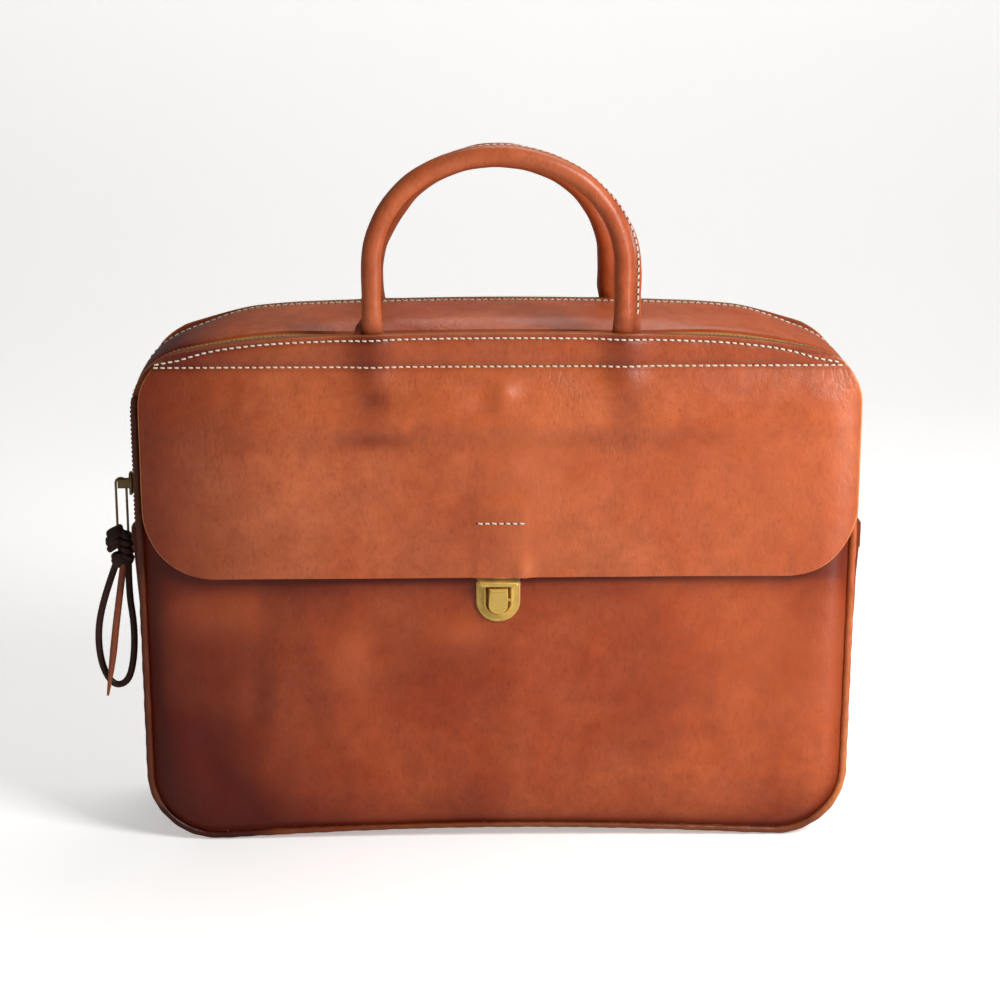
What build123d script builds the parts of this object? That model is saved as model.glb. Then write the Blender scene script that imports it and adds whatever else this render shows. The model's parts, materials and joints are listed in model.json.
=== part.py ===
from build123d import *
import os
from math import cos, radians, sin

# Leather briefcase with two zipped compartments, a front pocket under a flap, a press lock
# and two rolled handles. The front faces -Y, +Z is up, and the origin is the middle of the
# underside. All sizes are in millimetres.

os.makedirs("parts", exist_ok=True)

# ---- driving dimensions -------------------------------------------------------------------
LEATHER = 2.4
PANEL_TOP = 301.5          # crown of the front and back panels
PANEL_HALF = 204.6         # half the panels' greatest width
PANEL_LEAN = 0.2           # the panel's sides lean in towards the base, degrees
PANEL_BASE = 1.4           # the panel's lower edge, above the ground
GUSSET_TOP = 300.0
GUSSET_HALF = 208.2        # the zipped sides bulge out past the panels
GUSSET_LEAN = 3.5
BASE_RADIUS = 40.0         # lower corners
CROWN_RADIUS = 3000.0      # the top edge is an arch of three radii
CROWN_TURN = 2.1
SHOULDER_RADIUS = 420.0
SHOULDER_TURN = 9.3

FRONT = -42.0              # front face of the front panel
BACK = 42.0                # back face of the back panel
YOKE_GAP = 2.2             # room for the handle tabs between panel and yoke
YOKE_BOTTOM = 283.3        # the front yoke's straight lower edge, where the flap folds
BACK_YOKE_BOTTOM = 233.5   # the back yoke is deeper and covers its handle tabs

FLAP_HALF = 203.2
FLAP_HINGE_Y = FRONT - YOKE_GAP - LEATHER / 2
FLAP_HINGE_Z = YOKE_BOTTOM - 2.2
FLAP_BOTTOM = 163.6
FLAP_BEND_Z = 251.5        # above this the flap slopes back to its hinge
FLAP_INNER = -55.6         # back face of the hanging flap

POCKET_OUTER = -53.0       # front face of the front pocket
POCKET_TOP = 230.5
POCKET_INSET = 3.6
PIPING_RADIUS = 2.1
PIPING_INSET = 1.4
PIPING_TOP = 265.5
BACK_PIPING_TOP = BACK_YOKE_BOTTOM - 1.0

ZIP_END = 187.5            # both zips run over the top and down to here
FRONT_ZIP_Y = -27.0
REAR_ZIP_Y = 34.0
TOOTH_GAP = 1.2            # the slider's post runs between the two rows
TOOTH_WIDTH = 2.3
TAPE_INSET = 2.5
TAPE = 0.8
STRIP_FRONT = -16.0        # leather top strip between the zips
STRIP_BACK = 30.4

SLIDER_Z = 212.0
PIN_X = 215.0              # the pull ring turns on this pin
RING_RADIUS = 3.0
WIRE = 1.4
RING_BOTTOM = 173.5
KNOT_TOP = 190.0
KNOT_BOTTOM = 165.0
THONG = 4.0                # leather thong, across

LOCK_TOP = 163.0
LOCK_BOTTOM = 136.0
LOCK_HALF = 12.5
BUTTON_TOP = 156.8
BUTTON_BOTTOM = 141.8

LEG_Z = 307.5              # the handles flex about this height
HANDLE_Y = 44.3
HANDLE_TOP = 397.5
HANDLE_RADIUS = 5.5
CORE_RADIUS = 3.3
FIN_OUT = 9.5              # stitched fin, measured from the roll's centre
FIN = 2.6
ARCH_RADIUS = 82.0
ARCH_TURN = 28.6
SIDE_RADIUS = 59.0
# centre of each handle leg
LEG_X = ARCH_RADIUS * sin(radians(ARCH_TURN)) + SIDE_RADIUS * (1 - sin(radians(ARCH_TURN)))
BACK_HANDLE_LEAN = 23.0    # the back handle leans over towards the front one


# ---- shared shapes ------------------------------------------------------------------------
def upright(y):
    """The plane that faces the front at this distance, with X to the right and Z up."""
    return Plane(origin=(0, y, 0), x_dir=(1, 0, 0), z_dir=(0, -1, 0))


def outline(top, half, lean, base, base_radius=BASE_RADIUS):
    """The bag's shape from the front: arched top, sides that lean in, round base corners."""
    turned = CROWN_TURN + SHOULDER_TURN
    reach = (
        CROWN_RADIUS * sin(radians(CROWN_TURN))
        + SHOULDER_RADIUS * (sin(radians(turned)) - sin(radians(CROWN_TURN)))
    )
    corner_radius = (half - reach) / (1 - sin(radians(turned)))
    with BuildSketch() as face:
        with BuildLine():
            crown = JernArc((0, top), (1, 0), CROWN_RADIUS, -CROWN_TURN)
            shoulder = JernArc(crown @ 1, crown % 1, SHOULDER_RADIUS, -SHOULDER_TURN)
            corner = JernArc(shoulder @ 1, shoulder % 1, corner_radius, -(90 + lean - turned))
            drop = (corner @ 1).Y - base - base_radius * (1 - sin(radians(lean)))
            side = Line(corner @ 1, corner @ 1 + (corner % 1) * (drop / cos(radians(lean))))
            foot = JernArc(side @ 1, side % 1, base_radius, -(90 - lean))
            Line(foot @ 1, (0, base))
            mirror(about=Plane.YZ)
        make_face()
    return face.sketch


def inset(shape, amount):
    """The same outline, this much smaller all round."""
    with BuildSketch() as face:
        add(shape)
        offset(amount=-amount, mode=Mode.REPLACE)
    return face.sketch


def rim(shape, outer, inner):
    """The band of an outline between two insets."""
    with BuildSketch() as face:
        add(inset(shape, outer) if outer else shape)
        add(inset(shape, inner), mode=Mode.SUBTRACT)
    return face.sketch


def slab(shape, front, back, mode=Mode.ADD):
    """Adds a flat piece of this outline between two distances from front to back."""
    with BuildSketch(upright(back)) as face:
        add(shape)
    extrude(face.sketch, amount=back - front, mode=mode)


def block(x, y, z, mode=Mode.ADD):
    """Adds a box given as three ranges."""
    with Locations(((x[0] + x[1]) / 2, (y[0] + y[1]) / 2, (z[0] + z[1]) / 2)):
        Box(x[1] - x[0], y[1] - y[0], z[1] - z[0], mode=mode)


def keep_above(z):
    split(bisect_by=Plane.XY.offset(z), keep=Keep.TOP)


def keep_below(z):
    split(bisect_by=Plane.XY.offset(z), keep=Keep.BOTTOM)


def finish(piece, name):
    """Names a finished piece and writes it."""
    piece.part.label = name
    export_step(piece.part, f"parts/{name}.step")


panel = outline(PANEL_TOP, PANEL_HALF, PANEL_LEAN, PANEL_BASE)
zip_band = outline(GUSSET_TOP, GUSSET_HALF, 0, 0)
lower_band = outline(ZIP_END + 47.0, GUSSET_HALF, GUSSET_LEAN, 0)

# ---- panels -------------------------------------------------------------------------------
with BuildPart() as front_panel:
    slab(panel, FRONT, FRONT + LEATHER)
finish(front_panel, "front_panel")

with BuildPart() as back_panel:
    slab(panel, BACK - LEATHER, BACK)
finish(back_panel, "back_panel")

# The hasp grips the flap's lower edge; the pocket's hole lets its tongue and the button through.
BAR = (FLAP_BOTTOM - 5.2, FLAP_BOTTOM - 0.4)
POCKET_HOLE = (BUTTON_BOTTOM - 1.2, BAR[1] - 0.8)

# The pocket is a shallow pan whose rim is sewn to the front panel.
with BuildPart() as pocket_panel:
    slab(inset(panel, POCKET_INSET), POCKET_OUTER, POCKET_OUTER + LEATHER)
    slab(rim(panel, POCKET_INSET, POCKET_INSET + LEATHER), POCKET_OUTER, FRONT)
    keep_below(POCKET_TOP)
    block((-6.2, 6.2), (POCKET_OUTER, POCKET_OUTER + LEATHER), POCKET_HOLE, Mode.SUBTRACT)
finish(pocket_panel, "pocket_panel")


# The yokes cover the handle tabs along the arched top edge; a stiffener fills between the tabs.
def yoke(front, back, bottom):
    slab(panel, front, back)
    keep_above(bottom)


TAB_HALF = 11.0
TAB_BOTTOM = LEG_Z - 66.0
with BuildPart() as flap_yoke:
    yoke(FRONT - YOKE_GAP - LEATHER, FRONT - YOKE_GAP, YOKE_BOTTOM)
finish(flap_yoke, "flap_yoke")

with BuildPart() as back_yoke:
    yoke(BACK + YOKE_GAP, BACK + YOKE_GAP + LEATHER, BACK_YOKE_BOTTOM)
finish(back_yoke, "back_yoke")


def stiffener(front, back, bottom):
    """Fills between panel and yoke, with a gap for each handle tab."""
    slab(inset(panel, 1.0), front, back)
    keep_above(bottom)
    for x in (-LEG_X, LEG_X):
        gap = (x - TAB_HALF - 0.5, x + TAB_HALF + 0.5)
        block(gap, (front, back), (bottom, PANEL_TOP), Mode.SUBTRACT)


with BuildPart() as front_stiffener:
    stiffener(FRONT - YOKE_GAP, FRONT, YOKE_BOTTOM)
finish(front_stiffener, "front_stiffener")

with BuildPart() as back_stiffener:
    stiffener(BACK, BACK + YOKE_GAP, BACK_YOKE_BOTTOM)
finish(back_stiffener, "back_stiffener")

# ---- gusset -------------------------------------------------------------------------------
GUSSET_FLOOR_HALF = 150.0
with BuildPart() as gusset:
    slab(rim(lower_band, 0, LEATHER), FRONT + LEATHER, BACK - LEATHER)
    slab(rim(lower_band, 0, 11.0), FRONT + LEATHER, FRONT + 2 * LEATHER)
    slab(rim(lower_band, 0, 11.0), BACK - 2 * LEATHER, BACK - LEATHER)
    keep_below(ZIP_END)

with BuildPart() as gusset_left:
    add(gusset.part)
    split(bisect_by=Plane.YZ.offset(-GUSSET_FLOOR_HALF), keep=Keep.BOTTOM)
finish(gusset_left, "gusset_left")

with BuildPart() as gusset_right:
    add(gusset.part)
    split(bisect_by=Plane.YZ.offset(GUSSET_FLOOR_HALF), keep=Keep.TOP)
finish(gusset_right, "gusset_right")

with BuildPart() as gusset_bottom:
    block((-GUSSET_FLOOR_HALF, GUSSET_FLOOR_HALF), (FRONT + LEATHER, BACK - LEATHER), (0, LEATHER))
finish(gusset_bottom, "gusset_bottom")

with BuildPart() as base_board:
    block((-145, 145), (-34, 34), (LEATHER, LEATHER + 2.0))
    fillet(base_board.edges().filter_by(Axis.Z), radius=6)
finish(base_board, "base_board")


# ---- zips: tapes and rows of teeth along the arched top and both sides -----------------------
def zip_run(shape, front, back):
    """Adds one continuous strip over the top of the bag, ending on both sides at the same height."""
    slab(shape, front, back)
    keep_above(ZIP_END)


tape_band = rim(zip_band, TAPE_INSET, TAPE_INSET + TAPE)
tooth_band = rim(zip_band, 0.2, 3.6)
row_out = TOOTH_GAP / 2 + TOOTH_WIDTH

with BuildPart() as top_strip:
    zip_run(rim(zip_band, 0, LEATHER), STRIP_FRONT, STRIP_BACK)
finish(top_strip, "top_strip")

# A narrow leather facing closes the step between the front panel and the wider zipped band.
with BuildPart() as front_zip_facing:
    zip_run(rim(zip_band, 1.0, 9.0), FRONT + LEATHER, FRONT + LEATHER + 1.2)
finish(front_zip_facing, "front_zip_facing")

with BuildPart() as rear_zip_facing:
    zip_run(rim(zip_band, 1.0, 9.0), BACK - LEATHER - 1.2, BACK - LEATHER)
finish(rear_zip_facing, "rear_zip_facing")

tapes = {
    "front_zip_tape_outer": (FRONT + LEATHER + 1.2, FRONT_ZIP_Y - row_out),
    "front_zip_tape_inner": (FRONT_ZIP_Y + row_out, STRIP_FRONT + 4.0),
    "rear_zip_tape_inner": (STRIP_BACK - 4.0, REAR_ZIP_Y - row_out),
    "rear_zip_tape_outer": (REAR_ZIP_Y + row_out, BACK - LEATHER - 1.2),
}
for name, (front, back) in tapes.items():
    with BuildPart() as tape:
        zip_run(tape_band, front, back)
    finish(tape, name)

rows = {
    "front_zip_teeth_outer": FRONT_ZIP_Y - row_out,
    "front_zip_teeth_inner": FRONT_ZIP_Y + TOOTH_GAP / 2,
    "rear_zip_teeth_inner": REAR_ZIP_Y - row_out,
    "rear_zip_teeth_outer": REAR_ZIP_Y + TOOTH_GAP / 2,
}
for name, front in rows.items():
    with BuildPart() as row:
        zip_run(tooth_band, front, front + TOOTH_WIDTH)
    finish(row, name)

# Brass clips close both ends of each zip.
CLIP = (ZIP_END - 15.0, ZIP_END)
for name, y in {"front_zip_end_clips": FRONT_ZIP_Y, "rear_zip_end_clips": REAR_ZIP_Y}.items():
    with BuildPart() as clips:
        for side in (-1, 1):
            x = sorted((side * (GUSSET_HALF + 0.1), side * (GUSSET_HALF + 1.4)))
            block(x, (y - 4, y + 4), CLIP)
        fillet(clips.edges().filter_by(Axis.Y), radius=0.4)
    finish(clips, name)

# ---- inside: linings and the divider between the two compartments ---------------------------
LINING_INSET = 20.0
with BuildPart() as lining_front:
    slab(inset(panel, LINING_INSET), FRONT + LEATHER + 0.1, FRONT + LEATHER + 0.8)
finish(lining_front, "lining_front")

with BuildPart() as lining_back:
    slab(inset(panel, LINING_INSET), BACK - LEATHER - 0.8, BACK - LEATHER - 0.1)
finish(lining_back, "lining_back")

DIVIDER_Y = 8.0
with BuildPart() as centre_divider:
    slab(outline(GUSSET_TOP - 3.0, 198.0, 3.6, LEATHER + 2.2, 34.0), DIVIDER_Y, DIVIDER_Y + 1.6)
finish(centre_divider, "centre_divider")


# ---- piping round the sides and the base -----------------------------------------------------
def piping(y, top):
    """Adds a welt cord from this height on one side, round the base, to the other side."""
    with BuildSketch(upright(y)) as face:
        add(inset(panel, PIPING_INSET))
    path = face.sketch.face().outer_wire()
    with BuildSketch(Plane(origin=path @ 0, z_dir=path % 0)) as section:
        Circle(PIPING_RADIUS)
    sweep(section.sketch, path=path)
    keep_below(top)


with BuildPart() as front_piping:
    piping(FRONT - PIPING_RADIUS - 0.1, PIPING_TOP)
finish(front_piping, "front_piping")

with BuildPart() as back_piping:
    piping(BACK + PIPING_RADIUS + 0.1, BACK_PIPING_TOP)
finish(back_piping, "back_piping")

# ---- flap ------------------------------------------------------------------------------------
flap_middle = FLAP_INNER - LEATHER / 2
with BuildPart() as flap:
    with BuildSketch(Plane.YZ) as section:
        with BuildLine() as run:
            FilletPolyline(
                (FLAP_HINGE_Y, FLAP_HINGE_Z),
                (flap_middle, FLAP_BEND_Z),
                (flap_middle, FLAP_BOTTOM - 5),
                radius=30,
            )
        trace(line_width=LEATHER)
        with Locations((FLAP_HINGE_Y, FLAP_HINGE_Z)):
            Circle(LEATHER / 2)
    extrude(amount=FLAP_HALF + 2, both=True)
    slab(outline(PANEL_TOP, FLAP_HALF, 0.4, FLAP_BOTTOM), -70, -30, Mode.INTERSECT)
finish(flap, "flap")

TAB_TOP = FLAP_BOTTOM + 44.0
SHANK_TOP = FLAP_BOTTOM + 12.0
tab_back = FLAP_INNER + 1.4
rivet_places = [(-5, FLAP_BOTTOM + 6), (5, FLAP_BOTTOM + 6)]
with BuildPart() as lock_tab:
    block((-15, 15), (FLAP_INNER, tab_back), (FLAP_BOTTOM, TAB_TOP))
    with BuildSketch(upright(tab_back)):
        with Locations(*rivet_places):
            Circle(1.25)
    extrude(amount=1.4, mode=Mode.SUBTRACT)
finish(lock_tab, "lock_tab")

# The hasp's tongue runs back into the lock.
hasp_back = tab_back + 0.8
with BuildPart() as hasp:
    block((-10.8, 10.8), (-58.2, hasp_back), BAR)
    fillet(hasp.edges().filter_by(Axis.X).group_by(Axis.Y)[0], radius=1.2)
    block((-8, 8), (tab_back, hasp_back), (BAR[1], SHANK_TOP))
    block((-4.5, 4.5), (hasp_back, -47.5), (BAR[0] + 0.8, BAR[0] + 2.8))
    with BuildSketch(upright(hasp_back)):
        with Locations(*rivet_places):
            Circle(1.25)
    extrude(amount=0.8, mode=Mode.SUBTRACT)
finish(hasp, "hasp")

with BuildPart() as hasp_rivets:
    with BuildSketch(upright(hasp_back)):
        with Locations(*rivet_places):
            Circle(1.25)
    extrude(amount=hasp_back - FLAP_INNER)
finish(hasp_rivets, "hasp_rivets")

# ---- press lock on the pocket ------------------------------------------------------------------
PLATE = 1.2
plate_front = POCKET_OUTER - PLATE
with BuildPart() as lock_plate:
    with BuildSketch(upright(POCKET_OUTER)):
        with Locations((0, (LOCK_TOP + LOCK_BOTTOM) / 2)):
            Rectangle(2 * LOCK_HALF, LOCK_TOP - LOCK_BOTTOM)
    extrude(amount=PLATE)
    fillet(lock_plate.edges().filter_by(Axis.Y).group_by(Axis.Z)[0], radius=8)
    block((-11.1, 11.1), (plate_front, POCKET_OUTER), (BAR[0] - 0.3, LOCK_TOP), Mode.SUBTRACT)
    block((-5.7, 5.7), (plate_front, POCKET_OUTER), (BUTTON_BOTTOM - 0.4, BUTTON_TOP + 0.4), Mode.SUBTRACT)
finish(lock_plate, "lock_plate")

BEZEL_HEIGHT = BUTTON_TOP - BUTTON_BOTTOM + 3.9
with BuildPart() as lock_bezel:
    with BuildSketch(upright(plate_front)) as ring_face:
        with Locations((0, BUTTON_BOTTOM - 3.1)):
            Rectangle(16, BEZEL_HEIGHT, align=(Align.CENTER, Align.MIN))
        fillet(ring_face.vertices().group_by(Axis.Y)[0], radius=6.5)
        with Locations((0, BUTTON_BOTTOM - 0.4)):
            Rectangle(11.4, BEZEL_HEIGHT, align=(Align.CENTER, Align.MIN), mode=Mode.SUBTRACT)
    extrude(amount=2.2)
finish(lock_bezel, "lock_bezel")

catch_y = (-50.3, -49.3)
with BuildPart() as lock_button:
    block((-5.4, 5.4), (-57.6, catch_y[0]), (BUTTON_BOTTOM, BUTTON_TOP))
    fillet(lock_button.faces().sort_by(Axis.Y)[0].edges(), radius=0.9)
finish(lock_button, "lock_button")

with BuildPart() as lock_catch:
    block((-7.5, 7.5), catch_y, (BUTTON_BOTTOM - 2.4, BAR[0]))
finish(lock_catch, "lock_catch")

HOUSING_BACK = -45.4
with BuildPart() as lock_housing:
    block((-10, 10), (POCKET_OUTER + LEATHER, HOUSING_BACK), (LOCK_BOTTOM + 0.6, LOCK_TOP - 0.1))
    block((-9, 9), (POCKET_OUTER + LEATHER, HOUSING_BACK - 1.0), (LOCK_BOTTOM + 1.6, LOCK_TOP - 1.1),
          Mode.SUBTRACT)
finish(lock_housing, "lock_housing")

# A conical spring of three rings returns the button.
spring_z = (BUTTON_TOP + BUTTON_BOTTOM) / 2
with BuildPart() as lock_spring:
    for turn in range(3):
        with Locations(Location((0, catch_y[1] + 0.4 + 1.05 * turn, spring_z), (90, 0, 0))):
            Torus(4.6 - 0.9 * turn, 0.38)
finish(lock_spring, "lock_spring")


# ---- zip sliders, pull rings and thongs ---------------------------------------------------------
with BuildPart() as front_slider:
    plate = (-(GUSSET_HALF + 1.7), -(GUSSET_HALF + 0.3))
    slider_z = (SLIDER_Z - 6.5, SLIDER_Z + 6.5)
    block(plate, (FRONT_ZIP_Y - 4, FRONT_ZIP_Y + 4), slider_z)
    fillet(front_slider.edges().filter_by(Axis.X), radius=2)
    block((-(GUSSET_HALF + 0.3), -(GUSSET_HALF - 5.0)), (FRONT_ZIP_Y - 0.3, FRONT_ZIP_Y + 0.3),
          (SLIDER_Z - 5, SLIDER_Z + 5))
    block((-(GUSSET_HALF - 4.0), -(GUSSET_HALF - 5.0)), (FRONT_ZIP_Y - 4, FRONT_ZIP_Y + 4),
          (SLIDER_Z - 6, SLIDER_Z + 6))
    for y in (FRONT_ZIP_Y - 2.6, FRONT_ZIP_Y + 1.4):
        block((-(PIN_X + 1.6), plate[0]), (y, y + 1.2), (SLIDER_Z - 2.5, SLIDER_Z + 2.5))
    with BuildSketch(Plane(origin=(-PIN_X, FRONT_ZIP_Y + 2.6, SLIDER_Z), z_dir=(0, -1, 0))):
        Circle(0.9)
    extrude(amount=5.2)
finish(front_slider, "front_slider")

with BuildPart() as front_pull_ring:
    with BuildLine(upright(FRONT_ZIP_Y)) as loop:
        over = CenterArc((-PIN_X, SLIDER_Z), RING_RADIUS, 0, 180)
        under = CenterArc((-PIN_X, RING_BOTTOM), RING_RADIUS, 180, 180)
        Line(over @ 1, under @ 0)
        Line(under @ 1, over @ 0)
    with BuildSketch(Plane(origin=loop.wire() @ 0, z_dir=loop.wire() % 0)):
        Circle(WIRE / 2)
    sweep(path=loop.wire())
finish(front_pull_ring, "front_pull_ring")


def knot(x, y, half_depth, rounding):
    """Adds a knot: two cheeks in front of and behind the ring, joined below it."""
    block(x, (y - half_depth, y + half_depth), (KNOT_BOTTOM, KNOT_TOP))
    fillet(edges().filter_by(Axis.Z), radius=rounding)
    block((x[0] - 1, x[1] + 1), (y - 1.1, y + 1.1),
          (RING_BOTTOM - RING_RADIUS - WIRE / 2 - 0.4, KNOT_TOP), Mode.SUBTRACT)


with BuildPart() as front_thong_knot:
    knot((-PIN_X - 8, -PIN_X + 4.4), FRONT_ZIP_Y, 6.0, 3.5)
finish(front_thong_knot, "front_thong_knot")


def fillet_radii(points):
    """The largest bend that each corner of a route allows: 0.45 of its shorter run."""
    found = []
    for before, at, after in zip(points, points[1:], points[2:]):
        into, out = Vector(*at) - Vector(*before), Vector(*after) - Vector(*at)
        half_turn = radians(into.get_angle(out) / 2)
        found.append(0.45 * min(into.length, out.length) * cos(half_turn) / sin(half_turn))
    return found


def thong(points):
    """Adds a round thong along a route of straight runs and tangent bends."""
    radii = fillet_radii(points)
    print("bend radii, mm:", [round(r, 1) for r in radii])
    with BuildLine() as route:
        FilletPolyline(*points, radius=radii)
    path = route.wire()
    with BuildSketch(Plane(origin=path @ 0, z_dir=path % 0)) as section:
        Circle(THONG / 2)
    sweep(section.sketch, path=path)
    print("thong length, mm:", round(path.length, 1))


loop_route = [
    (-219.5, -27.0, 165.0),
    (-226.5, -27.6, 147.0),
    (-232.0, -28.2, 125.0),
    (-231.0, -28.4, 104.0),
    (-224.5, -28.0, 90.0),
    (-215.5, -27.6, 92.0),
    (-211.6, -27.0, 107.0),
    (-210.8, -26.8, 127.0),
    (-213.2, -26.8, 147.0),
    (-212.6, -27.0, 165.0),
]
tail_route = [
    (-215.0, -31.0, 165.0),
    (-217.4, -33.8, 148.0),
    (-220.6, -34.6, 127.0),
    (-223.4, -34.2, 106.0),
    (-227.0, -33.4, 86.0),
]
with BuildPart() as front_thong_loop:
    thong(loop_route)
finish(front_thong_loop, "front_thong_loop")

with BuildPart() as front_thong_tail:
    thong(tail_route)
finish(front_thong_tail, "front_thong_tail")

# The rear zip's slider and ring are the front ones, turned round to the other side of the bag.
for name, piece in {"slider": front_slider, "pull_ring": front_pull_ring}.items():
    with BuildPart() as turned:
        with Locations((0, REAR_ZIP_Y + FRONT_ZIP_Y, 0)):
            add(piece.part, rotation=(0, 0, 180))
    finish(turned, f"rear_{name}")

# Its thong hangs flat against the bag's side.
rear_loop_route = [
    (213.0, 30.5, 165.0),
    (213.4, 26.5, 147.0),
    (213.8, 23.5, 125.0),
    (213.8, 24.5, 104.0),
    (213.6, 30.0, 91.0),
    (213.4, 38.0, 91.5),
    (213.2, 42.5, 105.0),
    (213.2, 43.0, 126.0),
    (213.2, 40.5, 147.0),
    (213.0, 37.5, 165.0),
]
rear_tail_route = [
    (216.0, 34.0, 165.0),
    (217.8, 35.0, 148.0),
    (218.2, 36.5, 127.0),
    (218.0, 38.0, 106.0),
    (217.6, 40.0, 86.0),
]
with BuildPart() as rear_thong_knot:
    knot((PIN_X - 4.4, PIN_X + 3.2), REAR_ZIP_Y, 7.5, 3.0)
finish(rear_thong_knot, "rear_thong_knot")

with BuildPart() as rear_thong_loop:
    thong(rear_loop_route)
finish(rear_thong_loop, "rear_thong_loop")

with BuildPart() as rear_thong_tail:
    thong(rear_tail_route)
finish(rear_thong_tail, "rear_thong_tail")


# ---- handles --------------------------------------------------------------------------------------
def handle_path():
    """Half of a handle's centreline, from the middle of its top down one leg."""
    crown = JernArc((0, HANDLE_TOP), (1, 0), ARCH_RADIUS, -ARCH_TURN)
    side = JernArc(crown @ 1, crown % 1, SIDE_RADIUS, -(90 - ARCH_TURN))
    Line(side @ 1, ((side @ 1).X, LEG_Z))


def handle_half(radius, hollow, with_fin):
    """Adds half of a handle: the leather roll with its stitched fin, or the cord inside it."""
    with BuildLine(upright(0)) as run:
        handle_path()
    path = run.wire()
    start = Plane(origin=(0, 0, HANDLE_TOP), x_dir=(0, 0, 1), z_dir=(1, 0, 0))
    with BuildSketch(start) as section:
        Circle(radius)
        if with_fin:
            with Locations((FIN_OUT / 2, 0)):
                Rectangle(FIN_OUT, FIN)
        if hollow:
            Circle(hollow, mode=Mode.SUBTRACT)
    sweep(section.sketch, path=path)


with BuildPart() as wrap_shape:
    handle_half(HANDLE_RADIUS, CORE_RADIUS, True)
    with Locations((LEG_X, 0, LEG_Z)):
        Sphere(HANDLE_RADIUS, arc_size1=-90, arc_size2=0, align=None)
    mirror(about=Plane.YZ)

with BuildPart() as core_shape:
    handle_half(CORE_RADIUS - 0.1, 0, False)
    mirror(about=Plane.YZ)

# Each handle stands in its own place; the back one leans over towards the front.
front_place = Location((0, -HANDLE_Y, 0))
back_place = (
    Location((0, HANDLE_Y, LEG_Z)) * Location((0, 0, 0), (BACK_HANDLE_LEAN, 0, 0))
    * Location((0, 0, -LEG_Z))
)
for end, place in {"front": front_place, "back": back_place}.items():
    with BuildPart() as wrap:
        add(wrap_shape.part.moved(place))
    finish(wrap, f"{end}_handle_wrap")
    with BuildPart() as core:
        add(core_shape.part.moved(place))
    finish(core, f"{end}_handle_core")

# The tabs under the yokes hold the legs; each is riveted through the panel twice. The front
# rivets have raised heads, and the back ones are flush because the deeper yoke covers them.
rivet_spots = [(x, z) for x in (-LEG_X, LEG_X) for z in (TAB_BOTTOM + 10, TAB_BOTTOM + 28)]
tab_places = {"front": (FRONT - YOKE_GAP, FRONT, 0.9), "back": (BACK, BACK + YOKE_GAP, 0)}
for end, (front, back, head) in tab_places.items():
    with BuildPart() as rivets:
        with BuildSketch(upright(back)):
            with Locations(*rivet_spots):
                Circle(4)
        extrude(amount=back - front + head)
    finish(rivets, f"{end}_handle_rivets")
    with BuildPart() as tabs:
        for x in (-LEG_X, LEG_X):
            block((x - TAB_HALF, x + TAB_HALF), (front, back), (TAB_BOTTOM, PANEL_TOP - 2.2))
        fillet(tabs.edges().filter_by(Axis.Y).group_by(Axis.Z)[0], radius=6)
        add(rivets.part, mode=Mode.SUBTRACT)
    finish(tabs, f"{end}_handle_tabs")
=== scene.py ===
import json
from math import cos, pi, radians, sin

import bmesh
import bpy
import numpy as np
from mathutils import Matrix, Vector


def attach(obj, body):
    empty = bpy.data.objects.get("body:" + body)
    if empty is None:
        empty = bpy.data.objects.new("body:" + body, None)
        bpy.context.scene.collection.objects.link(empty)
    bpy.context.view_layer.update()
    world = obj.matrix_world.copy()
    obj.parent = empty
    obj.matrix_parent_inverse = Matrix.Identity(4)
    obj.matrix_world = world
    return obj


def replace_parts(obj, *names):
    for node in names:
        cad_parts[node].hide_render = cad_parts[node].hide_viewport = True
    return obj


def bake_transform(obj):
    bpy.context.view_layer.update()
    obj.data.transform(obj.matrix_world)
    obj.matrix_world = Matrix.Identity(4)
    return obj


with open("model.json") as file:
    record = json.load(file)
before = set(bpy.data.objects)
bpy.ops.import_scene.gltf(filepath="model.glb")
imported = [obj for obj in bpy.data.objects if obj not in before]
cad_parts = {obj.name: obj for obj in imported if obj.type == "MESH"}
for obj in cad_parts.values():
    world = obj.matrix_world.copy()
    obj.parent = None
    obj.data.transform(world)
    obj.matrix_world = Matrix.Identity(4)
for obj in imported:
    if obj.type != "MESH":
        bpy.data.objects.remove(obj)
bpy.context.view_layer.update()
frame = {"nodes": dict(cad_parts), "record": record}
M = 0.001                       # all lengths below are in millimetres until a mesh is made

# ---- dimensions shared with the CAD model -------------------------------------------------
LEATHER = 2.4
PANEL_TOP = 301.5
PANEL_HALF = 204.6
PANEL_LEAN = 0.2
PANEL_BASE = 1.4
GUSSET_TOP = 300.0
GUSSET_HALF = 208.2
GUSSET_LEAN = 3.5
BASE_RADIUS = 40.0
CROWN_RADIUS, CROWN_TURN = 3000.0, 2.1
SHOULDER_RADIUS, SHOULDER_TURN = 420.0, 9.3
FRONT, BACK = -42.0, 42.0
YOKE_GAP = 2.2
YOKE_BOTTOM = 283.3
BACK_YOKE_BOTTOM = 233.5
FLAP_HALF = 201.3
FLAP_SHIFT = 1.9                # the flap hangs slightly to one side
FLAP_BOTTOM = 163.6
FLAP_OUTER = -58.0
FLAP_STRAIGHT = 245.0           # below this the flap hangs straight down
POCKET_OUTER = -53.0
POCKET_TOP = 230.5
POCKET_INSET = 3.6
PIPING_RADIUS = 2.1
PIPING_TOP = 265.5
ZIP_END = 187.5
FRONT_ZIP_Y, REAR_ZIP_Y = -27.0, 34.0
STRIP_FRONT, STRIP_BACK = -16.0, 30.4
THONG = 4.0
LOCK_TOP, LOCK_BOTTOM = 163.0, 136.0
BUTTON_TOP, BUTTON_BOTTOM = 156.8, 141.8
LEG_Z = 307.5
HANDLE_Y = 44.3
HANDLE_TOP = 400.0              # the soft roll stands a little above its CAD arch
HANDLE_RADIUS = 5.5
CORE_RADIUS = 3.6
FIN_OUT = 9.5
FIN_HALF = 1.35
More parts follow.
